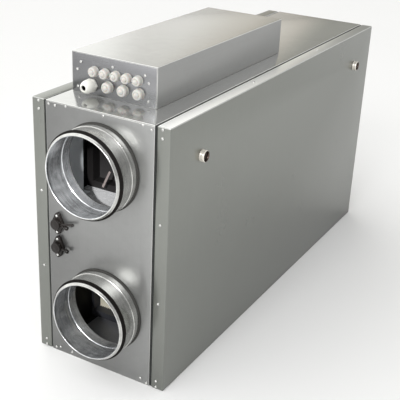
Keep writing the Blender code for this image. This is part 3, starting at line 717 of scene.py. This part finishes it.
def build_panels():
    """Service panels and the cabinet's top, with rounded folds."""
    for side in ("left", "right"):
        low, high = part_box(side + "_service_panel")
        panel = slab(side + "_panel_tray", low, high, PANEL_FOLD_RADIUS)
        for end in ("front", "rear"):
            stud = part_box(f"{side}_{end}_lock_core")
            middle = (stud[0] + stud[1]) / 2
            middle.x = (low.x + high.x) / 2
            hole = rod("hole", 32, STUD_HOLE_RADIUS, CUT_LENGTH, Matrix.Translation(middle))
            combine(panel, hole, "DIFFERENCE")
        finish(panel, SIDE_SHEET, nodes=[side + "_service_panel"])
        # Painted highlight: the folds under the top faces take a pale copy of the panel sheet.
        refinish(panel, PANEL_EDGE_PAINTED_HIGHLIGHT, on_upper_fold)
        # Painted light: only the right panel's top faces take the lighter copy of its sheet.
        if side == "right":
            refinish(panel, PANEL_TOP_PAINTED_LIGHT, on_top)
    low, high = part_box("top_panel")
    skin_low = (low.x, -HALF_LENGTH, high.z - TOP_SKIN)
    skin_high = (high.x, HALF_LENGTH, high.z)
    top = slab("top_sheet", skin_low, skin_high, TOP_SKIN * 0.46)
    high.z -= TOP_SKIN / 2
    combine(top, slab("core", low, high, 0.0003, 1), "UNION")
    finish(top, TOP_SHEET, nodes=["top_panel"])
    # Painted highlight: the folds take a pale copy of the sheet.
    refinish(top, EDGE_PAINTED_HIGHLIGHT, on_fold)


def build_control_box():
    """The folded cover, open below and at both ends, the gland plate and the rear plate."""
    cover = slab("box_cover_sheet", BOX_LOW, BOX_HIGH, BOX_FOLD_RADIUS)
    margin = Vector((BOX_SHEET, -BOX_SHEET * 3, 0))
    low = BOX_LOW + margin
    high = BOX_HIGH - margin
    low.z -= 0.01
    high.z -= BOX_SHEET
    combine(cover, slab("room", low, high, 0.0003, 1), "DIFFERENCE")
    # Painted shade: the cover's sides take the darker copy of its sheet.
    finish(cover, BOX_SIDE_PAINTED_SHADE, nodes=["control_box_cover"])
    # Painted highlight: the folds take a pale copy of the sheet.
    refinish(cover, EDGE_PAINTED_HIGHLIGHT, on_fold)
    refinish(cover, BOX_TOP, on_top)
    for end in ("front", "rear"):
        low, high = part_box(f"control_box_{end}_plate")
        plate = slab(f"box_{end}_plate_sheet", low, high, 0.0004, 2)
        finish(plate, BOX_PLATE, nodes=[f"control_box_{end}_plate"])
        # Painted highlight: the folds take a pale copy of the sheet.
        refinish(plate, EDGE_PAINTED_HIGHLIGHT, on_fold)


def gland_matrix(node):
    low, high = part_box(node)
    middle = (low + high) / 2
    middle.y = BOX_LOW.y
    return Matrix.Translation(middle) @ TO_FRONT


def gland_profile(radius, reach):
    """Stub, flange, body, rounded shoulder, ring groove and centre bump."""
    return [
        (-0.0065, 0),
        (-0.0065, 0.0060),
        (FOOT_GAP, 0.0060),
        (FOOT_GAP, radius * 0.98),
        (0.0009, radius),
        (0.0022, radius),
        (0.0026, radius * 0.98),
        (0.0028, radius * 0.95),
        (reach * 0.50, radius * 0.94),
        (reach * 0.62, radius * 0.91),
        (reach * 0.71, radius * 0.84),
        (reach * 0.77, radius * 0.74),
        (reach * 0.79, radius * 0.62),
        (reach * 0.77, radius * 0.57),
        (reach * 0.74, radius * 0.55),
        (reach * 0.74, radius * 0.50),
        (reach * 0.82, radius * 0.47),
        (reach * 0.89, radius * 0.40),
        (reach * 0.93, radius * 0.28),
        (reach * 0.94, radius * 0.20),
        (reach * 0.98, radius * 0.17),
        (reach * 1.00, radius * 0.10),
        (reach * 1.00, 0),
    ]


def build_glands():
    for node in sorted(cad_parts):
        if "_gland_" not in node:
            continue
        low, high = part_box(node)
        profile = gland_profile((high.x - low.x) / 2, GLAND_REACH)
        gland = put(turned(node + "_cap", profile, 40, ring=False), gland_matrix(node))
        finish(gland, GLAND_PLASTIC, nodes=[node])


def open_gland_profile():
    """The nut's bore, its rounded dome, its side and the neck behind it."""
    nut = OPEN_NUT_RADIUS
    points = [(-0.0095, 0.0050), (0.0262, 0.0050), (0.0268, 0.0053), (0.0270, 0.0060)]
    points += [(0.0266, 0.0068), (0.0250, 0.0084), (0.0225, 0.0101), (0.0195, 0.0113)]
    points += [(0.0160, 0.0121), (0.0120, nut), (0.0080, nut), (0.0075, nut - 0.0004)]
    return points + [(0.0075, 0.0100), (FOOT_GAP, 0.0100), (FOOT_GAP, 0.0078), (-0.0095, 0.0078)]


def build_open_gland():
    """Hexagon seat, fluted clamping nut and the dark insert in its bore."""
    matrix = gland_matrix("open_cable_gland")
    gland = turned("open_gland_nut", open_gland_profile(), 48)
    flutes = []
    away = OPEN_NUT_RADIUS + 0.0009
    for i in range(OPEN_NUT_FLUTES):
        angle = math.tau * (i + 0.5) / OPEN_NUT_FLUTES
        spot = Matrix.Translation((0.0120, away * math.cos(angle), away * math.sin(angle)))
        flutes.append(rod("flute", 12, 0.0016, 0.0125, spot))
    combine(gland, join("flutes", flutes), "DIFFERENCE")
    seat = rod("seat", 6, 0.0130, FOOT_DEPTH, Matrix.Translation((FOOT_MIDDLE, 0, 0)))
    edit(seat)
    bpy.ops.mesh.bevel(offset=0.0006, segments=2, affect="EDGES")
    close_edit(seat)
    combine(seat, rod("bore", 48, 0.0070, 0.02, Matrix.Identity(4)), "DIFFERENCE")
    combine(gland, seat, "UNION")
    put(gland, matrix)
    finish(gland, WHITE_PLASTIC, nodes=["open_cable_gland"])
    tube = [(-0.004, 0.0049), (0.0235, 0.0049), (0.0240, 0.0046), (0.0240, 0.0040), (-0.004, 0.0040)]
    insert = turned("open_gland_insert", tube, 32)
    put(insert, matrix)
    finish(insert, LIP_RUBBER)


def tapping_matrix(node):
    """The tapping's axis, read from its flange, which is symmetric up and down."""
    low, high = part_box(node)
    place = (low.x + TAPPING_RADIUS, -HALF_LENGTH, (low.z + high.z) / 2)
    return Matrix.Translation(place) @ TO_FRONT


def nozzle(length, tip, turn):
    """A hose nozzle to the side, with a thicker tip."""
    profile = [(0, 0), (0, NOZZLE_RADIUS), (length - tip * 2.2, NOZZLE_RADIUS)]
    profile += [(length - tip * 1.7, tip * 0.92), (length - tip * 1.2, tip), (length - tip * 0.5, tip)]
    profile += [(length - tip * 0.15, tip * 0.8), (length, tip * 0.5), (length, 0)]
    made = turned("nozzle", profile, 24, ring=False)
    sideways = Matrix.Rotation(math.radians(turn), 4, "X") @ Matrix.Rotation(math.radians(90), 4, "Z")
    return put(made, Matrix.Translation((0.0075, 0, 0)) @ sideways)


def tapping_flange():
    """The hull of the middle disc and the two screw ears, with a rounded edge."""
    ear = TAPPING_EAR_RADIUS
    discs = []
    for height, radius in ((0, TAPPING_RADIUS), (TAPPING_EAR_PLACE, ear), (-TAPPING_EAR_PLACE, ear)):
        spot = Matrix.Translation((FOOT_MIDDLE, 0, height))
        discs.append(rod("disc", 48, radius, FOOT_DEPTH, spot))
    flange = join("flange", discs)
    face = FOOT_GAP + FOOT_DEPTH
    edit(flange)
    bpy.ops.mesh.convex_hull()
    bpy.ops.mesh.select_all(action="SELECT")
    bpy.ops.mesh.dissolve_limited(angle_limit=math.radians(1))
    select_edges(flange, lambda a, b: min(a.x, b.x) > face - 0.0005)
    bpy.ops.mesh.bevel(offset=0.0007, segments=3, affect="EDGES")
    return close_edit(flange)


def build_tappings():
    """Flange, round body with a collar, side nozzles and two screws."""
    profile = [(FOOT_GAP, 0), (FOOT_GAP, 0.0080), (0.0090, 0.0080), (0.0090, 0.0102)]
    profile += [(0.0094, 0.0105), (0.0122, 0.0105), (0.0132, 0.0100), (0.0135, 0.0090), (0.0130, 0.0082)]
    profile += [(0.0130, 0.0040), (0.0134, 0.0030), (0.0134, 0)]
    for row, nozzles in (("upper", (SHORT_NOZZLE, LONG_NOZZLE)), ("lower", (SHORT_NOZZLE,))):
        node = row + "_pressure_tapping"
        tapping = combine(tapping_flange(), turned("body", profile, 48, ring=False), "UNION")
        for length, tip, turn in nozzles:
            combine(tapping, nozzle(length, tip, turn), "UNION")
        matrix = tapping_matrix(node)
        tapping.name = row + "_tapping_body"
        put(tapping, matrix)
        finish(tapping, TAPPING_PLASTIC, nodes=[node])
        heads = []
        for height in (-TAPPING_EAR_PLACE, TAPPING_EAR_PLACE):
            spot = matrix @ Matrix.Translation((FOOT_GAP + FOOT_DEPTH + 0.0001, 0, height))
            heads.append(twin(SCREW, "head", spot))
        finish(join(row + "_tapping_screws", heads), SCREW_ZINC)


def screw_head():
    """A pan head with a cross recess, standing on the plane at the origin and pointing to +X."""
    profile = [(0, 0), (0, SCREW_RADIUS), (SCREW_HEIGHT * 0.35, SCREW_RADIUS)]
    profile += arc(SCREW_HEIGHT * 0.35, SCREW_RADIUS * 0.62, SCREW_RADIUS * 0.38, 90, 20, 4)[1:]
    profile += [(SCREW_HEIGHT, SCREW_RADIUS * 0.5), (SCREW_HEIGHT, 0)]
    head = turned("screw", profile, 24, ring=False)
    bars = []
    for width, length in ((0.0005, 0.0026), (0.0026, 0.0005)):
        low = (SCREW_HEIGHT - 0.0008, -width / 2, -length / 2)
        high = (SCREW_HEIGHT + 0.0008, width / 2, length / 2)
        bars.append(slab("bar", low, high, 0.00005, 1))
    cross = combine(bars[0], bars[1], "UNION")
    return combine(head, cross, "DIFFERENCE")


def rivet_head():
    """A domed blind rivet with the dimple of its pin."""
    profile = [(0, 0), (0, RIVET_RADIUS), (RIVET_HEIGHT * 0.35, RIVET_RADIUS)]
    profile += [(RIVET_HEIGHT * 0.8, RIVET_RADIUS * 0.75), (RIVET_HEIGHT, RIVET_RADIUS * 0.42)]
    profile += [(RIVET_HEIGHT * 0.5, RIVET_RADIUS * 0.34), (RIVET_HEIGHT * 0.5, 0)]
    return turned("rivet", profile, 20, ring=False)


SCREW = screw_head()
RIVET = rivet_head()


def heads_on_plane(name, kinds, to_plane):
    """Screw and rivet heads at (kind, across, up) places of a plane."""
    heads = []
    for kind, across, up in kinds:
        heads.append(twin(kind, "head", to_plane @ Matrix.Translation((0, across, up))))
    return finish(join(name, heads), SCREW_ZINC)


def build_screws():
    """Heads on the end walls, the panels' flanges and the control box."""
    strip = HALF_WIDTH - PANEL_THICKNESS + FLANGE_SCREW_INSET
    top = CABINET_TOP
    wall = [
        (SCREW, -0.107, top - 0.0065),
        (SCREW, -0.093, top - 0.0070),
        (RIVET, -0.070, top - 0.0045),
        (RIVET, 0.010, top - 0.0050),
        (RIVET, 0.090, top - 0.0050),
        (SCREW, 0.108, top - 0.0095),
        (SCREW, -0.105, 0.0068),
        (RIVET, -0.095, 0.0100),
        (RIVET, -0.0665, 0.0080),
        (SCREW, 0.0946, 0.0110),
        (SCREW, 0.1084, 0.0045),
    ]
    flange = []
    for side in (-1, 1):
        for up in (top - 0.0045, top - 0.020, top - 0.178, top - 0.335, 0.0177, 0.0048):
            flange.append((SCREW, side * strip, up))
    for end, turn in (("front", TO_FRONT), ("rear", HALF_TURN @ TO_FRONT)):
        sign = -1 if end == "front" else 1
        plane = Matrix.Translation((0, sign * (HALF_LENGTH + 0.0001), 0)) @ turn
        heads_on_plane(end + "_wall_screws", wall, plane)
        heads_on_plane(end + "_flange_screws", flange, plane)
    plate = [
        (SCREW, -0.0886, top + 0.0570),
        (SCREW, -0.0964, top + 0.0427),
        (SCREW, -0.0196, top + 0.0590),
        (SCREW, 0.0480, top + 0.0560),
        (SCREW, 0.0556, top + 0.0433),
        (SCREW, 0.0555, top + 0.0107),
        (SCREW, -0.0960, top + 0.0110),
    ]
    plane = Matrix.Translation((0, BOX_LOW.y - 0.0001, 0)) @ TO_FRONT
    heads_on_plane("box_front_screws", plate, plane)
    mirrored = [(kind, -across, up) for kind, across, up in plate]
    plane = Matrix.Translation((0, BOX_HIGH.y + 0.0001, 0)) @ HALF_TURN @ TO_FRONT
    heads_on_plane("box_rear_screws", mirrored, plane)
    for side, sign in (("left", -1), ("right", 1)):
        heads = []
        for behind in TOP_SCREWS_BEHIND:
            place = (sign * (strip + 0.001), -HALF_LENGTH + behind, top + 0.0001)
            heads.append(twin(SCREW, "head", Matrix.Translation(place) @ TO_TOP))
        finish(join(side + "_top_flange_screws", heads), SCREW_ZINC)


def bezel_profile():
    """The bore, the cone at its mouth, the thin rim, the side and the foot."""
    low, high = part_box("right_front_lock_bezel")
    radius = (high.z - low.z) / 2
    reach = high.x - HALF_WIDTH
    return [
        (FOOT_GAP, BEZEL_BORE),
        (reach - 0.0040, BEZEL_BORE),
        (reach - 0.0006, radius - 0.0017),
        (reach - 0.0001, radius - 0.0014),
        (reach, radius - 0.0011),
        (reach - 0.0004, radius - 0.0007),
        (reach - 0.0014, radius - 0.0003),
        (reach - 0.0030, radius - 0.0002),
        (reach - 0.0045, radius - 0.0002),
        (0.0030, radius - 0.0002),
        (0.0022, radius),
        (FOOT_GAP, radius),
    ]


def core_profile(depth):
    """The core's rounded face, its side and the stud behind it."""
    points = [(CORE_REACH, 0), (CORE_REACH, CORE_RADIUS - 0.0008)]
    points += [(CORE_REACH - 0.0005, CORE_RADIUS - 0.0002), (CORE_REACH - 0.0013, CORE_RADIUS)]
    points += [(FOOT_GAP, CORE_RADIUS), (FOOT_GAP, STUD_RADIUS)]
    return points + [(-depth, STUD_RADIUS), (-depth, 0)]


def build_locks():
    """Chrome bezels, and cores with a key slot, a stud and the wing behind the keeper."""
    bezel = turned("bezel", bezel_profile(), 56)
    for side, sign in (("left", -1), ("right", 1)):
        for end in ("front", "rear"):
            name = f"{side}_{end}_lock"
            low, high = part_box(name + "_bezel")
            middle = (low + high) / 2
            middle.x = sign * HALF_WIDTH
            matrix = Matrix.Translation(middle)
            if sign < 0:
                matrix = matrix @ HALF_TURN
            ring = twin(bezel, name + "_ring", matrix)
            finish(ring, LOCK_CHROME, nodes=[name + "_bezel"])
            # Painted shade: the bezel's bore and the cone at its mouth take the dark finish.
            refinish(ring, LOCK_DARK, faces_axis(matrix))
            low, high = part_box(name + "_core")
            depth = HALF_WIDTH - min(abs(low.x), abs(high.x))
            core = turned("core", core_profile(depth), 40, ring=False)
            thickness, width, height = WING_SIZE
            wing_high = (-depth + thickness, width / 2, height / 2)
            wing = slab("wing", (-depth, -width / 2, -height / 2), wing_high, 0.0005, 2)
            combine(core, wing, "UNION")
            slot = slab("slot", (0.0035, -0.0014, -0.0055), (0.0095, 0.0014, 0.0055), 0.0002, 1)
            combine(core, slot, "DIFFERENCE")
            core.name = name + "_cylinder"
            put(core, matrix)
            finish(core, LOCK_DARK, body=name, nodes=[name + "_core"])
    drop(bezel)


def dress_cad_nodes():
    """Finishes of the CAD nodes whose own shape stays in view."""
    surfaces = {
        "bottom_panel": CHAMBER_SHEET,
        "partition": CHAMBER_SHEET,
        "control_box_base": BOX_SIDE_PAINTED_SHADE,
        "left_panel_gasket": SEAM_FOAM,
        "right_panel_gasket": SEAM_FOAM,
    }
    for end in ("front", "rear"):
        for row in ("upper", "lower"):
            surfaces[f"{end}_{row}_filter_holder"] = FRAME_PLASTIC if row == "upper" else HOLDER_PLASTIC
    for node, surface in surfaces.items():
        for material_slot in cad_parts[node].material_slots:
            material_slot.material = surface


def chamber_sheet(name, side, row):
    """A lined side sheet with a foot, just inside a service panel."""
    floor = PARTITION_HIGH.z if row == "upper" else FLOOR_PANEL_TOP
    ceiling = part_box("top_panel")[0].z if row == "upper" else PARTITION_LOW.z
    front = -HALF_LENGTH + WALL_THICKNESS + CHAMBER_GAP
    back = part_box(f"front_{row}_filter_holder")[0].y - CHAMBER_GAP
    outer = -PANEL_LOW.x + CHAMBER_GAP
    low = (outer, front, floor + CHAMBER_GAP)
    high = (outer + CHAMBER_LINING, back, ceiling - CHAMBER_GAP)
    sheet = slab(name, low, high, CHAMBER_SKIN * 0.3, 2)
    foot = slab("foot", low, (-CHAMBER_FOOT, back, low[2] + CHAMBER_SKIN), CHAMBER_SKIN * 0.3, 2)
    combine(sheet, foot, "UNION")
    if side == "right":
        put(sheet, Matrix.Diagonal((-1, 1, 1, 1)))
    return sheet


def chamber_bracket(name):
    """The small angle and its screw in the corner of the upper chamber."""
    floor = PARTITION_HIGH.z + CHAMBER_GAP * 2 + CHAMBER_SKIN
    wall = -PANEL_LOW.x + CHAMBER_GAP * 2 + CHAMBER_LINING
    place = -HALF_LENGTH + BRACKET_PLACE
    foot = slab(name, (wall, place, floor), (wall + 0.012, place + 0.010, floor + 0.0012), 0.0004, 2)
    leg = slab("leg", (wall, place, floor), (wall + 0.0012, place + 0.010, floor + 0.012), 0.0004, 2)
    combine(foot, leg, "UNION")
    spot = Matrix.Translation((wall + 0.0075, place + 0.005, floor + 0.0013))
    return join(name, [foot, twin(SCREW, "head", spot @ TO_TOP)])


def build_chambers():
    """Side sheets of the chambers behind the spigots, the drip trays and the corner brackets."""
    # Painted shade: the lower chambers' side sheets are black, standing in for the shade deep in the
    # lower chamber.
    linings = (("upper", LINER_SHEET, "galvanised_sheet"), ("lower", FRAME_PLASTIC, "black_plastic"))
    for row, surface, slot in linings:
        for side in ("left", "right"):
            name = f"front_{row}_{side}_liner"
            sheet = finish(chamber_sheet(name, side, row), surface)
            finish(twin(sheet, name.replace("front", "rear"), HALF_TURN), surface)
    front = -HALF_LENGTH + WALL_THICKNESS + CHAMBER_GAP
    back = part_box("front_lower_filter_holder")[0].y - CHAMBER_GAP
    low = (-CHAMBER_FOOT + CHAMBER_GAP, front, FLOOR_PANEL_TOP + CHAMBER_GAP)
    high = (CHAMBER_FOOT - CHAMBER_GAP, back, FLOOR_PANEL_TOP + CHAMBER_SKIN * 2)
    tray = slab("front_drip_tray", low, high, 0.0003, 2)
    finish(tray, TRAY_PLASTIC)
    finish(twin(tray, "rear_drip_tray", HALF_TURN), TRAY_PLASTIC)
    bracket = finish(chamber_bracket("front_corner_bracket"), SCREW_ZINC)
    finish(twin(bracket, "rear_corner_bracket", HALF_TURN), SCREW_ZINC)


def build_media():
    """Finely folded media at the back of each filter holder."""
    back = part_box("front_lower_filter_holder")[1].y
    for row, surface in (("upper", DARK_MEDIA), ("lower", PALE_MEDIA)):
        node = f"front_{row}_filter_media"
        low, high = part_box(node)
        deselect_all()
        bpy.ops.mesh.primitive_grid_add(x_subdivisions=MEDIA_FOLDS * 2, y_subdivisions=1, size=1)
        media = named(f"front_{row}_media_sheet")
        for vertex in media.data.vertices:
            fold = round((vertex.co.x + 0.5) * MEDIA_FOLDS * 2) % 2
            vertex.co.z = fold * MEDIA_FOLD_DEPTH
        thickness = media.modifiers.new("felt", "SOLIDIFY")
        thickness.thickness = MEDIA_THICKNESS
        thickness.offset = 0
        bpy.ops.object.modifier_apply(modifier=thickness.name)
        span = Matrix.Diagonal((high.x - low.x, high.z - low.z, 1, 1))
        middle = ((low.x + high.x) / 2, back - MEDIA_FOLD_DEPTH - 0.001, (low.z + high.z) / 2)
        upright = Matrix.Rotation(math.radians(90), 4, "X")
        put(media, Matrix.Translation(middle) @ upright @ span)
        finish(media, surface, nodes=[node])
        behind = twin(media, f"rear_{row}_media_sheet", HALF_TURN)
        finish(behind, surface, nodes=[f"rear_{row}_filter_media"])


def build_straps():
    """The pull strap of each upper filter, a straight band leaning in front of its media."""
    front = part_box("front_upper_filter_holder")[0].y - STRAP_GAP
    bottom = (-0.060, front, PARTITION_HIGH.z + 0.018)
    top = (-0.043, front, PARTITION_HIGH.z + 0.054)
    run = Vector(top) - Vector(bottom)
    strap_low = (-STRAP_WIDTH / 2, -STRAP_THICKNESS / 2, 0)
    strap_high = (STRAP_WIDTH / 2, STRAP_THICKNESS / 2, run.length)
    strap = slab("front_filter_strap", strap_low, strap_high, 0.0002, 2)
    edit(strap)
    bpy.ops.mesh.subdivide(number_cuts=6)
    close_edit(strap)
    lean = Matrix.Rotation(math.atan2(run.x, run.z), 4, "Y")
    put(strap, Matrix.Translation(bottom) @ lean)
    finish(strap, STRAP_WEB)
    finish(twin(strap, "rear_filter_strap", HALF_TURN), STRAP_WEB)


def build_floor():
    """A plain pale floor, large enough to reach the horizon."""
    deselect_all()
    bpy.ops.mesh.primitive_plane_add(size=FLOOR_SIZE, location=(0, 0, -FLOOR_GAP))
    floor = named("floor")
    bpy.ops.object.transform_apply(location=True, rotation=True, scale=True)
    surface = Finish("pale_floor", (0.92, 0.92, 0.915), 0.75)
    cloud = surface.noise((1.3, 1.3, 1.3), 2.0)
    floor.data.materials.append(surface.show(surface.tone(cloud, 0.99, 1.01)))


def build_surroundings():
    """Soft studio surroundings: a bright wall behind on the left, a dimmer room on the right."""
    world = bpy.data.worlds.new("studio")
    bpy.context.scene.world = world
    studio = Shader(world)
    direction = studio.node("ShaderNodeTexCoord", output="Generated")
    x = studio.node("ShaderNodeSeparateXYZ", values={0: direction}, output="X")
    y = studio.node("ShaderNodeSeparateXYZ", values={0: direction}, output="Y")
    z = studio.node("ShaderNodeSeparateXYZ", values={0: direction}, output="Z")
    azimuth = studio.node("ShaderNodeMath", {"operation": "ARCTAN2"}, {0: x, 1: y})
    share = azimuth / math.tau + 0.5
    bands = (
        (-180, (2.50, 2.50, 2.50)),
        (-143, (2.10, 2.10, 2.10)),
        (-60, (2.20, 2.20, 2.15)),
        (-40, (2.20, 2.20, 2.15)),
        (-35, (1.45, 1.42, 1.36)),
        (-31, (1.60, 1.58, 1.52)),
        (-27, (1.35, 1.30, 1.20)),
        (-23, (1.15, 1.08, 0.95)),
        (-20, (0.52, 0.52, 0.46)),
        (-10, (0.55, 0.55, 0.50)),
        (-4, (1.20, 1.20, 1.18)),
        (25, (1.60, 1.60, 1.60)),
        (45, (1.30, 1.30, 1.30)),
        (80, (0.60, 0.60, 0.60)),
        (140, (0.80, 0.80, 0.80)),
        (165, (1.80, 1.80, 1.80)),
        (180, (2.50, 2.50, 2.50)),
    )
    stops = [((angle + 180) / 360, color) for angle, color in bands]
    ring = studio.node("ShaderNodeValToRGB", {"stops": stops}, {"Fac": share})
    height_stops = ((0.0, (0.9, 0.9, 0.9)), (0.45, (1.0, 1.0, 1.0)), (1.0, (0.7, 0.7, 0.7)))
    height = studio.node("ShaderNodeValToRGB", {"stops": height_stops}, {"Fac": z})
    multiply = {"data_type": "RGBA", "blend_type": "MULTIPLY"}
    color = studio.node("ShaderNodeMix", multiply, {0: 1.0, 6: ring, 7: height}, 2)
    background = studio.tree.nodes["Background"]
    studio.feed(background.inputs["Color"], color)
    studio.feed(background.inputs["Strength"], STUDIO_STRENGTH)


def lamp(name, kind, power, place, aim):
    """A lamp at a place, pointed at another. Its light is handed back for the rest."""
    light = bpy.data.lights.new(name, kind)
    light.energy = power
    stand = bpy.data.objects.new(name, light)
    bpy.context.scene.collection.objects.link(stand)
    stand.location = place
    stand.rotation_mode = "QUATERNION"
    stand.rotation_quaternion = (Vector(place) - Vector(aim)).to_track_quat("Z", "Y")
    return light


def snoot(name, power, place, aim, angle):
    """A narrow lamp aimed into a spigot."""
    light = lamp(name, "SPOT", power, place, aim)
    light.spot_size = math.radians(angle)
    light.spot_blend = SNOOT_BLEND
    light.shadow_soft_size = SNOOT_RADIUS


def build_lights():
    """A key light above the camera and a snoot into each front spigot."""
    key = lamp("key_light", "AREA", 40, (0.45, -2.80, 2.30), (0, -0.5, 0.4))
    key.shape = "RECTANGLE"
    key.size = 1.5
    key.size_y = 0.9
    snoot("upper_snoot", 820, (0.85, -2.60, 1.50), (-0.010, -0.541, 0.402), 3.8)
    snoot("lower_snoot", 260, (0.85, -2.60, 1.10), (-0.002, -0.541, 0.116), 2.6)


def build_camera():
    """The camera at the photograph's place and angle."""
    camera = bpy.data.cameras.new("camera")
    camera.lens = CAMERA_LENS
    camera.sensor_width = CAMERA_SENSOR
    stand = bpy.data.objects.new("camera", camera)
    bpy.context.scene.collection.objects.link(stand)
    back = Vector((math.sin(CAMERA_AZIMUTH), -math.cos(CAMERA_AZIMUTH), math.tan(CAMERA_ELEVATION)))
    roll = Quaternion((0, 0, 1), CAMERA_ROLL)
    stand.location = CAMERA_PLACE
    stand.rotation_mode = "QUATERNION"
    stand.rotation_quaternion = back.to_track_quat("Z", "Y") @ roll
    bpy.context.scene.camera = stand


build_camera()
build_end_walls()
build_panels()
build_spigots()
build_control_box()
build_glands()
build_open_gland()
build_tappings()
build_screws()
build_locks()
build_chambers()
build_media()
build_straps()
dress_cad_nodes()
drop(SCREW)
drop(RIVET)
build_floor()
build_surroundings()
build_lights()
bpy.context.scene.view_settings.view_transform = "Standard"
